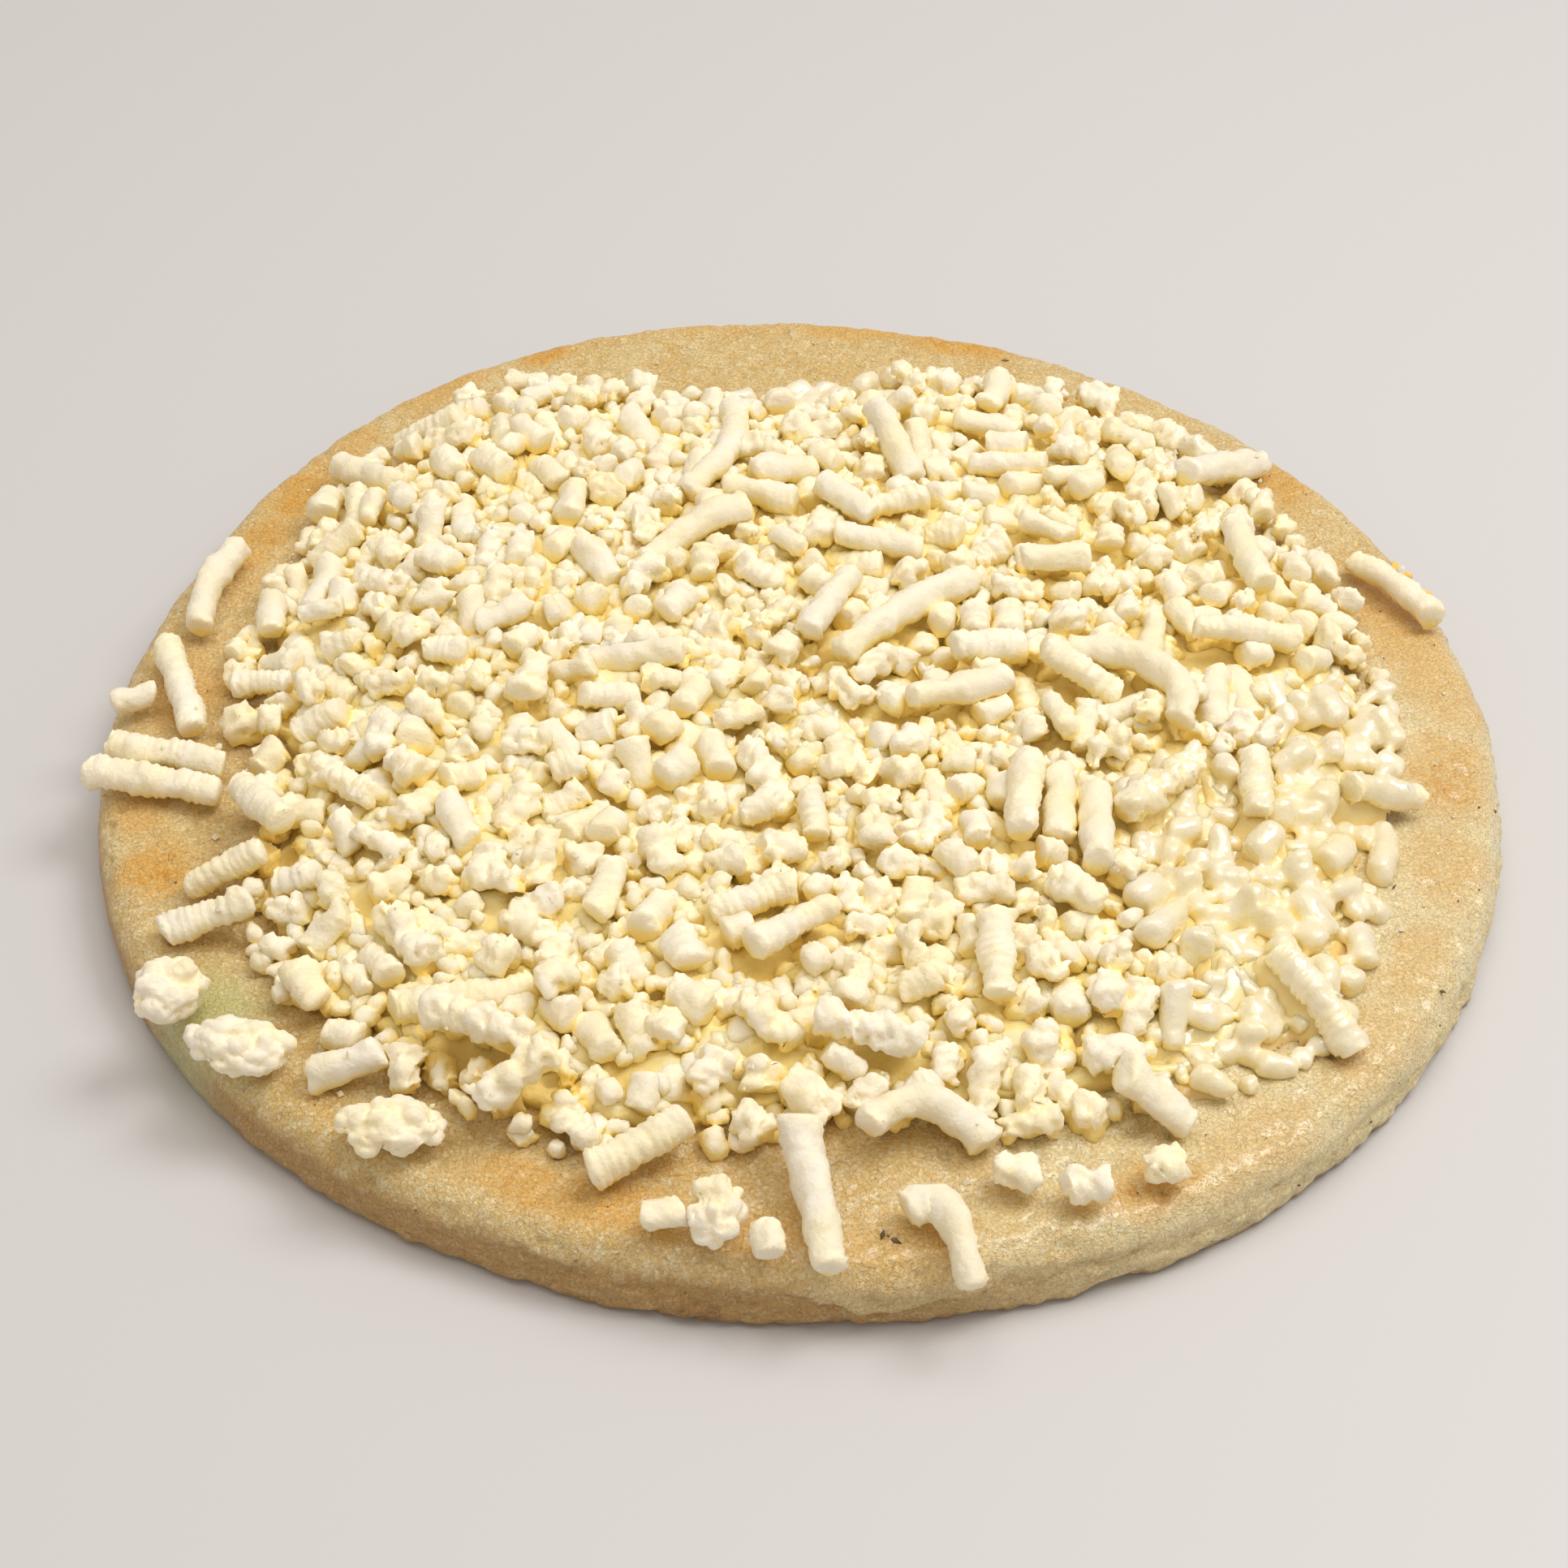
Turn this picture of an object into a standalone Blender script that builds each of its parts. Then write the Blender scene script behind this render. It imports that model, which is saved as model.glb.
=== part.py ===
"""An arepa: a griddled corn cake, whole, under a heap of milled white cheese.

The cake is one turned disc with an uneven rim. The heap is one lumpy solid out to its uneven
outline, and the strands, lumps and chunks that lie clear of it are pieces of their own.
Lengths are in metres and +Z is up. The origin is on the base, under the middle of the whole.
"""

import math

import bmesh
import bpy
from mathutils import Matrix, Vector, noise

MM = 0.001

# The cake
CAKE_RADIUS = 85 * MM
CAKE_HEIGHT = 9 * MM
CAKE_SIDES = 96
# Waves round the rim: how many, and their cosine and sine parts in mm
RIM_WAVES = {2: (-1.48, -0.14), 3: (0.25, -0.56), 4: (-0.32, 0.51)}
# The side from the top down: how far in from the rim in mm, and the share of the height
WALL_PROFILE = ((3.2, 1.0), (1.7, 0.95), (0.8, 0.83), (0.2, 0.62), (0.0, 0.38), (0.2, 0.16), (0.9, 0.03))
BASE_INSET = 1.7 * MM
WALL_RELIEF = 0.45 * MM
WALL_WAVES = 9
WALL_WAVE_RISE = 4 * MM
FLAT_TOP_RADIUS = 66 * MM
TOP_RINGS = (72 * MM, 78 * MM)
RIM_DIP = 0.7 * MM
DIP_RAMP = 10 * MM
DIP_SPACING = 17 * MM

# Pieces that touch keep this distance
GAP = 0.3 * MM

# The heap of cheese: its outline's reach every 15 degrees, starting at +X, in mm
HEAP_REACH = (71, 71, 71, 74, 74, 71, 65.5, 64.5, 74, 75, 72, 69.5)
HEAP_REACH += (69, 64.5, 73, 75, 75, 74, 69, 71, 74, 78, 74, 71)
HEAP_RINGS = 23
HEAP_SCALLOP = 1.1 * MM
HEAP_SCALLOPS = 11
HEAP_FOOT = 1.4 * MM
# The underside is this share of the outline's reach
HEAP_UNDERSIDE = 0.988
HEAP_EDGE = 2.6 * MM
HEAP_BODY = 6.4 * MM
HEAP_SHOULDER = 12 * MM
# Mounds and hollows on the heap: X, Y, spread and rise in mm
HEAP_MOUNDS = ((-36, 16, 24, 3.2), (-30, -28, 20, 1.5), (4, 34, 22, 1.2), (42, -6, 30, -1))
LUMP_SPACING = 8.5 * MM
LUMP_HEIGHT = 4.6 * MM
# A lump's crown over the mean, where its hollow ends, and its share of height at the heap's edge
LUMP_CROWN = 0.3
LUMP_END = 0.9
LUMP_AT_EDGE = 0.35

# Strands that lie clear of the heap: points along the middle in mm, then the diameter in mm
ON_CAKE = 11.4
STRANDS = {
    "front_long_strand": (((0, -70.4, 15.4), (1.4, -76, 12.9), (2.5, -81, 11.8), (3.3, -86.4, 10.6)), 4.4),
    "front_hooked_strand": (
        (
            (10.9, -79.4, 11.4),
            (13.6, -78.6, 11.6),
            (15.6, -80.8, 11.7),
            (16.7, -84.4, 11),
            (17.3, -87.4, 9.6),
        ),
        3.8,
    ),
    "front_nub": (((-15.3, -80.8, ON_CAKE), (-11, -80.3, ON_CAKE)), 3.9),
    "front_pellet": (((-3, -81.6, 11.7), (-2.4, -85.2, 11.2)), 4.1),
    "left_upper_strand": (
        ((-81, -12.3, 11.4), (-76.5, -13.4, ON_CAKE), (-71.5, -14.2, ON_CAKE), (-67, -15.4, ON_CAKE)),
        3.8,
    ),
    "left_lower_strand": (
        ((-82.8, -16.6, 11.4), (-77.6, -17.7, ON_CAKE), (-72, -18.6, ON_CAKE), (-66.8, -19.8, ON_CAKE)),
        3.9,
    ),
    "left_forked_strand": (
        ((-77.5, 6.2, ON_CAKE), (-75.4, 1, ON_CAKE), (-73.2, -4.5, ON_CAKE), (-71.6, -9.2, ON_CAKE)),
        3.8,
    ),
    "left_stub": (((-82, -4.9, 11.3), (-77.4, -2.9, ON_CAKE)), 3.7),
    "back_left_strand": (
        ((-74, 9.6, ON_CAKE), (-74.4, 16, ON_CAKE), (-73.4, 22, ON_CAKE), (-71.4, 26.4, ON_CAKE)),
        3.9,
    ),
    "right_rim_strand": (
        ((69.5, 28.4, ON_CAKE), (73.2, 25.2, ON_CAKE), (76.2, 21, 11.3), (78.4, 16.8, 11.3)),
        3.7,
    ),
    "front_chunk_left": (((20.2, -74.2, ON_CAKE), (24.4, -74, ON_CAKE)), 4.1),
    "front_chunk_middle": (((27.2, -76.4, ON_CAKE), (31.4, -75.6, ON_CAKE)), 4.0),
    "front_chunk_right": (((35.4, -73.5, ON_CAKE), (39, -72.5, ON_CAKE)), 3.6),
}
STRAND_SIDES = 8
STRAND_STEP = 1.5 * MM
STRAND_RIDGE = 0.07
BLUNT_END = 0.72

# Lumps of fused curds: middle, size along X, Y and Z in mm, and turn in degrees
LUMPS = {
    "left_rim_lump": ((-66.9, -52.3, 12.3), (8.2, 7.6, 6.2), 20),
    "left_front_lump": ((-58.5, -59.6, 11.8), (11.6, 6.4, 5.2), -8),
    "front_left_lump": ((-41.4, -70, 11.6), (11, 6.4, 4.8), 6),
    "front_lump": ((-7.9, -80.3, 11.9), (5.6, 8, 5.4), 0),
}

# The curds of a lump: how many from its middle to its skin, their crown, and their creases
CURDS = 1.5
CURD_CROWN = 1.08
CURD_CREASE = 0.5
CURD_END = 0.7

# Moves the whole so that the origin is under the middle of its box
MIDDLE = Vector((0.1, -0.55, 0)) * MM

CRUST_COLOUR = (0.74, 0.55, 0.33)
CHEESE_COLOUR = (0.87, 0.82, 0.62)


def clear_scene():
    for thing in list(bpy.data.objects):
        bpy.data.objects.remove(thing, do_unlink=True)


def plain_material(name, colour, roughness):
    material = bpy.data.materials.new(name)
    material.use_nodes = True
    shader = material.node_tree.nodes["Principled BSDF"]
    shader.inputs["Base Color"].default_value = (*colour, 1)
    shader.inputs["Roughness"].default_value = roughness
    shader.inputs["Metallic"].default_value = 0
    material.diffuse_color = (*colour, 1)
    return material


def add_object(name, body, parent, colour, roughness):
    bmesh.ops.recalc_face_normals(body, faces=body.faces)
    mesh = bpy.data.meshes.new(name)
    body.to_mesh(mesh)
    body.free()
    mesh.materials.append(plain_material(name + "_surface", colour, roughness))
    mesh.shade_smooth()
    mesh.set_sharp_from_angle(angle=math.radians(50))
    piece = bpy.data.objects.new(name, mesh)
    piece.parent = parent
    bpy.context.collection.objects.link(piece)
    return piece


def smooth_step(share):
    share = min(max(share, 0), 1)
    return share * share * (3 - 2 * share)


def curve_point(before, start, end, after, share):
    """A Catmull-Rom curve's value between start and end; works on numbers and on vectors."""
    return 0.5 * (
        2 * start
        + (end - before) * share
        + (2 * before - 5 * start + 4 * end - after) * share**2
        + (3 * start - before - 3 * end + after) * share**3
    )


def bridge(body, lower, upper):
    """Joins two rings of the same count with quads."""
    count = len(lower)
    for i in range(count):
        j = (i + 1) % count
        body.faces.new((lower[i], lower[j], upper[j], upper[i]))


def rim_radius(angle):
    waves = (a * math.cos(k * angle) + b * math.sin(k * angle) for k, (a, b) in RIM_WAVES.items())
    return CAKE_RADIUS + sum(waves) * MM


def wall_relief(angle, height):
    """How far the torn side wall stands out or in; it differs from place to place."""
    around = (WALL_WAVES * math.cos(angle), WALL_WAVES * math.sin(angle))
    return WALL_RELIEF * noise.noise(Vector((*around, height / WALL_WAVE_RISE)))


def top_dip(x, y):
    """The bare border of the top sinks a little in places, and never under the heap's middle."""
    reach = smooth_step((math.hypot(x, y) - FLAT_TOP_RADIUS) / DIP_RAMP)
    return RIM_DIP * reach * (0.5 + 0.5 * noise.noise(Vector((x, y, 0)) / DIP_SPACING))


def build_cake(parent):
    body = bmesh.new()
    angles = [math.tau * i / CAKE_SIDES for i in range(CAKE_SIDES)]
    rings = []
    for radius in (FLAT_TOP_RADIUS, *TOP_RINGS):
        spots = [(radius * math.cos(a), radius * math.sin(a)) for a in angles]
        rings.append([body.verts.new((x, y, CAKE_HEIGHT - top_dip(x, y))) for x, y in spots])
    for inset, share in WALL_PROFILE:
        ring = []
        for angle in angles:
            height = CAKE_HEIGHT * share
            out = rim_radius(angle) - inset * MM + wall_relief(angle, height)
            x, y = out * math.cos(angle), out * math.sin(angle)
            ring.append(body.verts.new((x, y, height - top_dip(x, y) * share**4)))
        rings.append(ring)
    base = [rim_radius(a) - BASE_INSET for a in angles]
    rings.append([body.verts.new((r * math.cos(a), r * math.sin(a), 0)) for r, a in zip(base, angles)])
    for upper, lower in zip(rings, rings[1:]):
        bridge(body, lower, upper)
    body.faces.new(rings[0])
    body.faces.new(reversed(rings[-1]))
    return add_object("corn_cake", body, parent, CRUST_COLOUR, 0.6)


def heap_reach(angle):
    count = len(HEAP_REACH)
    step, share = divmod(angle / math.tau * count, 1)
    near = (HEAP_REACH[(int(step) + k) % count] for k in (-1, 0, 1, 2))
    scallop = noise.noise(Vector((math.cos(angle), math.sin(angle), 0)) * HEAP_SCALLOPS)
    return curve_point(*near, share) * MM + HEAP_SCALLOP * scallop


def heap_top(x, y, inset):
    """The heap's height over the cake, lumpy with curds, at this distance in from its outline."""
    shoulder = smooth_step(inset / HEAP_SHOULDER)
    rise = HEAP_BODY - HEAP_EDGE
    for mound_x, mound_y, spread, height in HEAP_MOUNDS:
        away = ((x / MM - mound_x) ** 2 + (y / MM - mound_y) ** 2) / spread**2
        rise += height * MM * math.exp(-away)
    curd = noise.voronoi(Vector((x, y, 0)) / LUMP_SPACING)[0][0]
    lump = LUMP_HEIGHT * (LUMP_CROWN - min(curd, LUMP_END) ** 2)
    return HEAP_EDGE + rise * shoulder + lump * (LUMP_AT_EDGE + (1 - LUMP_AT_EDGE) * shoulder)


def build_heap(parent):
    """Rings of 6, 12, 18 ... points over the heap, then its rolled edge and its flat underside."""
    body = bmesh.new()
    underside = CAKE_HEIGHT + GAP
    rings = []
    for ring in range(1, HEAP_RINGS + 1):
        share = ring / HEAP_RINGS
        spots = []
        for i in range(6 * ring):
            angle = math.tau * i / (6 * ring)
            reach = heap_reach(angle)
            x, y = share * reach * math.cos(angle), share * reach * math.sin(angle)
            top = HEAP_FOOT if ring == HEAP_RINGS else heap_top(x, y, reach * (1 - share))
            spots.append(body.verts.new((x, y, underside + top)))
        rings.append(spots)
    middle = body.verts.new((0, 0, underside + heap_top(0, 0, heap_reach(0))))
    for i in range(6):
        body.faces.new((middle, rings[0][i], rings[0][(i + 1) % 6]))
    for ring in range(1, HEAP_RINGS):
        inner, outer = rings[ring - 1], rings[ring]
        for sector in range(6):
            for step in range(ring + 1):
                out = sector * (ring + 1) + step
                into = sector * ring + step
                first, second = outer[out], outer[(out + 1) % len(outer)]
                body.faces.new((first, second, inner[into % len(inner)]))
                if step < ring:
                    body.faces.new((inner[into], second, inner[(into + 1) % len(inner)]))
    foot = [body.verts.new((*(v.co.xy * HEAP_UNDERSIDE), underside)) for v in rings[-1]]
    bridge(body, foot, rings[-1])
    body.faces.new(foot)
    return add_object("cheese_heap", body, parent, CHEESE_COLOUR, 0.6)


def strand_path(points):
    """Points every STRAND_STEP or so along a smooth curve through the given ones."""
    knots = [Vector(p) * MM for p in points]
    knots = [2 * knots[0] - knots[1], *knots, 2 * knots[-1] - knots[-2]]
    path = []
    for i in range(1, len(knots) - 2):
        steps = max(2, round((knots[i + 1] - knots[i]).length / STRAND_STEP))
        path += [curve_point(*knots[i - 1 : i + 3], s / steps) for s in range(steps)]
    return [*path, knots[-2]]


def build_strand(name, points, diameter, parent):
    """A ridged round strand with blunt ends, as it leaves the mill."""
    body = bmesh.new()
    path = strand_path(points)
    radius = diameter * MM / 2
    last = len(path) - 1
    rings = []
    for i, place in enumerate(path):
        along = (path[min(i + 1, last)] - path[max(i - 1, 0)]).normalized()
        side = along.cross(Vector((0, 0, 1))).normalized()
        rise = side.cross(along)
        thick = radius * (1 - STRAND_RIDGE * (i % 2))
        if i in (0, last):
            thick *= BLUNT_END
        turns = (math.tau * (k + 0.5) / STRAND_SIDES for k in range(STRAND_SIDES))
        rays = (math.cos(t) * side + math.sin(t) * rise for t in turns)
        rings.append([body.verts.new(place + thick * ray) for ray in rays])
    for first, second in zip(rings, rings[1:]):
        bridge(body, first, second)
    body.faces.new(rings[0])
    body.faces.new(rings[-1])
    return add_object(name, body, parent, CHEESE_COLOUR, 0.55)


def build_lump(name, middle, size, turn, parent):
    """A ball of fused curds with a knobbly surface, flat where it sits on the cake."""
    body = bmesh.new()
    bmesh.ops.create_icosphere(body, subdivisions=3, radius=1)
    turned = Matrix.Rotation(math.radians(turn), 3, "Z")
    floor = CAKE_HEIGHT + GAP
    start = Vector(middle)
    for vert in body.verts:
        out = vert.co.normalized()
        curd = noise.voronoi(out * CURDS + start)[0][0]
        out *= CURD_CROWN - CURD_CREASE * min(curd, CURD_END) ** 2
        spot = Vector([0.5 * MM * side * part for side, part in zip(size, out)])
        spot.rotate(turned)
        spot += start * MM
        spot.z = max(spot.z, floor)
        vert.co = spot
    return add_object(name, body, parent, CHEESE_COLOUR, 0.6)


def build_arepa():
    clear_scene()
    whole = bpy.data.objects.new("arepa", None)
    whole.location = -MIDDLE
    bpy.context.collection.objects.link(whole)
    build_cake(whole)
    build_heap(whole)
    for name, (points, diameter) in STRANDS.items():
        build_strand(name, points, diameter, whole)
    for name, (middle, size, turn) in LUMPS.items():
        build_lump(name, middle, size, turn, whole)


build_arepa()
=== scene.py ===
"""The looks of the arepa corn cake: a griddled corn cake under a loose heap of milled white cheese.

Lengths are in millimetres until a mesh is made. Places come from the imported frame: the cake's rim and
the heap's height are read from its nodes, and every piece of cheese is dropped onto what lies under it.
"""
import math

import bmesh
import bpy
import numpy as np
from mathutils import Matrix, Vector
from mathutils.bvhtree import BVHTree


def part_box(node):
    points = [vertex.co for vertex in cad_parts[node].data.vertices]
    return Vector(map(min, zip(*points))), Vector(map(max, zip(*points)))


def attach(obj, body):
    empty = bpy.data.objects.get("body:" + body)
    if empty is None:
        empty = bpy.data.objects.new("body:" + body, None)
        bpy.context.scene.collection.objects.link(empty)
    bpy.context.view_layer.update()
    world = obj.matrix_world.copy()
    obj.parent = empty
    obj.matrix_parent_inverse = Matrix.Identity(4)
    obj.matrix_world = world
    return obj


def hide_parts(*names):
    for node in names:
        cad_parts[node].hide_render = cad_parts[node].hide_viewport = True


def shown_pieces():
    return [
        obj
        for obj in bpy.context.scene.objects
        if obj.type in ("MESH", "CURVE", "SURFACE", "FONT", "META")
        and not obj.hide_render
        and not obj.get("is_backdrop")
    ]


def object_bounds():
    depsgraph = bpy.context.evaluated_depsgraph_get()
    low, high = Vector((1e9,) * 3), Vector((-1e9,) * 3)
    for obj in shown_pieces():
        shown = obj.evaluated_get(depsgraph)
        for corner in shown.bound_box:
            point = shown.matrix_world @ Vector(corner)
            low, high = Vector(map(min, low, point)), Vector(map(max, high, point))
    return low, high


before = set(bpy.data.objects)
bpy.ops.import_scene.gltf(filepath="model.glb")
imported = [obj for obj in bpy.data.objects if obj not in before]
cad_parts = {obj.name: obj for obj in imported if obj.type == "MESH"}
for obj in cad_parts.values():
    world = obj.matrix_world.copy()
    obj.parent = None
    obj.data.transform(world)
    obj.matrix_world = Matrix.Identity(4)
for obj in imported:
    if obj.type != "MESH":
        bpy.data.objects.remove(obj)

CAD_BOX = [list(corner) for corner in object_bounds()]
MM = 0.001
SEED = 29
rng = np.random.default_rng(SEED)

# The view: where the camera stands and how it is turned.
VIEW_ELEVATION = 42.17
VIEW_ROLL = 1.16
VIEW_DISTANCE = 346.0
VIEW_TARGET = (-2.1, -3.55)
LENS = 65.22
SENSOR = 36.0

# The height map that the cheese is dropped onto.
STEP = 0.5
HALF = 92.0
CELLS = int(2 * HALF / STEP) + 1

# The heap.
STRAND_RADIUS = 1.93
LANDMARK_RADIUS = 1.8
SINK = 0.35
CORE_DEPTH = 4.1
BLUR = 4.0
OVER_GOAL = -0.5
CEILING = 0.1
EDGE_HEIGHT = 3.3
CORE_RISE = 1.8
STEEPEST = 0.6

# Where the cheese has begun to melt: middle, reach, strength.
MELTED = (
    ((58, -34), 30, 1.0),
    ((50, -55), 16, 1.0),
    ((66, -10), 18, 0.8),
    ((1, 70), 15, 0.75),
    ((60, 42), 24, 0.45),
)

# Strands that stand out: kind, middle x, middle y, heading, length, bend (degrees).
LANDMARKS = (
    ("smooth", -57, 40, -40, 12, 0),
    ("smooth", -11, 43, -102, 25, -48),
    ("smooth", -14, 24, -140, 17, 25),
    ("smooth", -20, 0, -7, 11, 0),
    ("smooth", 9, 24, 0, 11, 0),
    ("smooth", 3, 10, -111, 14, 0),
    ("smooth", 12, 9, -131, 24, 12),
    ("smooth", -3, 38, 27, 9, 0),
    ("smooth", 5, 31, -48, 10, 0),
    ("smooth", 11, 45, -69, 13, 0),
    ("smooth", 18, -5, 27, 13, 0),
    ("smooth", 31, 20, 16, 9, 0),
    ("smooth", 55, 46, 38, 15, 0),
    ("ridged", 53, 7, 12, 13, 0),
    ("smooth", 40, -1, -44, 22, -128),
    ("smooth", 55, 23, -80, 14, 8),
    ("ridged", 33, 0, -22, 10, 0),
    ("ridged", 22, 3, 18, 9, 0),
    ("ridged", 25, -23, -96, 13, 0),
    ("smooth", 29, -23, -95, 11, 0),
    ("smooth", 33, -27, -94, 13, 0),
    ("torn", 41, -19, 50, 14, 0),
    ("ridged", 52, -18, -95, 11, 0),
    ("ridged", 55, -50, -50, 13, 0),
    ("ridged", -1, -45, 37, 11, 0),
    ("ridged", -5, -40, 18, 10, 0),
    ("ridged", 21, -48, -89, 11, 0),
    ("torn", 7, -59, -7, 11, 0),
    ("ridged", -64, -33, 10, 9, 0),
    ("ridged", -65, -40, 9, 10, 0),
    ("ridged", -61, -25, -54, 11, 0),
    ("smooth", 13, -68, 7, 15, -120),
    ("torn", -33, -60, -24, 12, 0),
    ("smooth", -47, -61, 9, 8, 0),
    ("ridged", -16, -72, 29, 11, 10),
    ("torn", -29, -66, 22, 8, 0),
    ("smooth", 67, -17, 11, 9, 0),
    ("smooth", 37, -64, -25, 8, 0),
)


# ---------------------------------------------------------------- numbers and noise

def smooth_step(t):
    t = np.clip(t, 0.0, 1.0)
    return t * t * (3.0 - 2.0 * t)


def unit(v):
    return v / np.maximum(np.linalg.norm(v, axis=-1, keepdims=True), 1e-9)


TURNED = np.array(Matrix.Rotation(0.7, 3, (0.6, 0.5, 0.62)))


def lattice(ix, iy, iz, seed):
    """A steady random number from 0 to 1 for each corner of a grid."""
    h = (ix * 374761393 + iy * 668265263 + iz * 1440662683 + seed * 97394711) & 0xFFFFFFFF
    h = ((h ^ (h >> 13)) * 1274126177) & 0xFFFFFFFF
    return ((h ^ (h >> 16)) & 0xFFFFFF) / 0xFFFFFF


def noise(points, scale, seed):
    """Soft bumps about scale mm apart, from -1 to 1, on a grid turned away from the axes."""
    p = points @ TURNED / scale
    base = np.floor(p).astype(np.int64)
    f = p - base
    f = f * f * (3.0 - 2.0 * f)
    total = np.zeros(len(points))
    for cx in (0, 1):
        wx = f[:, 0] if cx else 1.0 - f[:, 0]
        for cy in (0, 1):
            wy = f[:, 1] if cy else 1.0 - f[:, 1]
            for cz in (0, 1):
                wz = f[:, 2] if cz else 1.0 - f[:, 2]
                corner = lattice(base[:, 0] + cx, base[:, 1] + cy, base[:, 2] + cz, seed)
                total += wx * wy * wz * corner
    return total * 2.0 - 1.0


def knobs(points, scale, seed):
    """Round knobs about scale mm apart: 1 at the middle of each, 0 in the creases between them."""
    p = points / scale
    base = np.floor(p).astype(np.int64)
    nearest = np.full(len(points), 9.0)
    for cx in (-1, 0, 1):
        for cy in (-1, 0, 1):
            for cz in (-1, 0, 1):
                ix, iy, iz = base[:, 0] + cx, base[:, 1] + cy, base[:, 2] + cz
                dx = ix + lattice(ix, iy, iz, seed) - p[:, 0]
                dy = iy + lattice(ix, iy, iz, seed + 1) - p[:, 1]
                dz = iz + lattice(ix, iy, iz, seed + 2) - p[:, 2]
                nearest = np.minimum(nearest, dx * dx + dy * dy + dz * dz)
    return np.sqrt(np.clip(1.0 - nearest / 0.6, 0.0, 1.0))


# ---------------------------------------------------------------- the height map

def cell_of(xy):
    """Row and column of the cell that holds each point."""
    index = np.rint((np.asarray(xy) + HALF) / STEP).astype(int)
    index = np.clip(index, 0, CELLS - 1)
    return index[..., 1], index[..., 0]


def blurred(grid, reach):
    """The mean of a grid over a square of reach mm to each side, taken twice."""
    half = max(1, int(round(reach / STEP)))
    size = 2 * half + 1
    for _ in range(2):
        for axis in (0, 1):
            pad = [(0, 0), (0, 0)]
            pad[axis] = (half + 1, half)
            total = np.cumsum(np.pad(grid, pad, mode="edge"), axis=axis)
            upper = np.take(total, range(size, size + CELLS), axis=axis)
            lower = np.take(total, range(CELLS), axis=axis)
            grid = (upper - lower) / size
    return grid


def heights_of(node, missing):
    """Height of a node's top over each cell, or missing where the cell is beside it."""
    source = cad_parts[node].data
    corners = [v.co for v in source.vertices]
    tree = BVHTree.FromPolygons(corners, [tuple(p.vertices) for p in source.polygons])
    grid = np.full((CELLS, CELLS), float(missing))
    down = Vector((0.0, 0.0, -1.0))
    low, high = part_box(node)
    start = high.z + 0.01
    rows, columns = cell_of(np.array([[low.x, low.y], [high.x, high.y]]) / MM)
    for row in range(rows[0], rows[1] + 1):
        y = (row * STEP - HALF) * MM
        for column in range(columns[0], columns[1] + 1):
            x = (column * STEP - HALF) * MM
            hit = tree.ray_cast(Vector((x, y, start)), down)[0]
            if hit is not None:
                grid[row, column] = hit.z / MM
    return grid


def melt_at(xy):
    """How far the cheese has melted at each place, from 0 to 1."""
    xy = np.atleast_2d(np.asarray(xy, float))
    wander = 5.0 * noise(np.column_stack([xy, np.zeros(len(xy))]), 13.0, 71)
    amount = np.zeros(len(xy))
    for middle, reach, strength in MELTED:
        away = np.hypot(xy[:, 0] - middle[0], xy[:, 1] - middle[1]) + wander
        amount = np.maximum(amount, strength * smooth_step((reach - away) / (0.45 * reach)))
    return amount


# ---------------------------------------------------------------- one piece of cheese

# How each kind looks: points round it, row spacing, noise (scale, height), ridge depth, end softness,
# grain.
LOOKS = {
    "smooth": dict(sides=16, step=0.45, noise=((2.4, 0.36), (1.2, 0.22)), knob=0.0, ridge=0.08, soft=0.4, fray=0.10),
    "torn": dict(sides=18, step=0.40, noise=((2.4, 0.45),), knob=1.35, ridge=0.0, soft=0.4, fray=0.08),
    "ridged": dict(sides=18, step=0.29, noise=((2.8, 0.34), (1.2, 0.20)), knob=0.0, ridge=0.27, soft=0.4, fray=0.10),
    "scrap": dict(sides=10, step=0.42, noise=((2.0, 0.25),), knob=0.5, ridge=0.0, soft=0.7, fray=0.05),
    "shred": dict(sides=12, step=0.4, noise=((1.6, 0.15),), knob=0.0, ridge=0.0, soft=0.8, fray=0.0),
    "melted": dict(sides=14, step=0.6, noise=((3.2, 0.40), (1.5, 0.2)), knob=0.0, ridge=0.22, soft=1.0, fray=0.0),
}
KNOB_SPACING = 1.65
CURD_SPACING = 0.85
RIDGE_SPACING = 1.1


class Batch:
    """Pieces of one kind, gathered into one mesh."""

    def __init__(self, kind):
        self.kind = kind
        self.points = []
        self.outward = []
        self.triangles = []
        self.tints = []
        self.count = 0

    def add(self, points, outward, triangles, tint):
        self.points.append(points)
        self.outward.append(outward)
        self.triangles.append(triangles + self.count)
        self.tints.append(np.full(len(points), tint))
        self.count += len(points)

    def joined(self):
        points = np.concatenate(self.points)
        outward = np.concatenate(self.outward)
        for seed, (scale, height) in enumerate(LOOKS[self.kind]["noise"]):
            points = points + outward * (height * noise(points, scale, 11 + seed))[:, None]
        knob = LOOKS[self.kind]["knob"]
        if knob > 0.0:
            curds = knobs(points, KNOB_SPACING, 15) + 0.35 * knobs(points, CURD_SPACING, 18) - 0.85
            points = points + outward * (knob * curds)[:, None]
        return points, outward, np.concatenate(self.triangles), np.concatenate(self.tints)


def tube_triangles(rows, sides):
    """Triangles of a tube with a point at each end: its rows first, then the two end points."""
    ring = np.arange(sides)
    after = (ring + 1) % sides
    triangles = []
    for row in range(rows - 1):
        here, there = row * sides, (row + 1) * sides
        triangles.append(np.column_stack([here + ring, there + after, there + ring]))
        triangles.append(np.column_stack([here + ring, here + after, there + after]))
    first, last = rows * sides, rows * sides + 1
    triangles.append(np.column_stack([np.full(sides, first), after, ring]))
    top = (rows - 1) * sides
    triangles.append(np.column_stack([np.full(sides, last), top + ring, top + after]))
    return np.concatenate(triangles)


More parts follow.
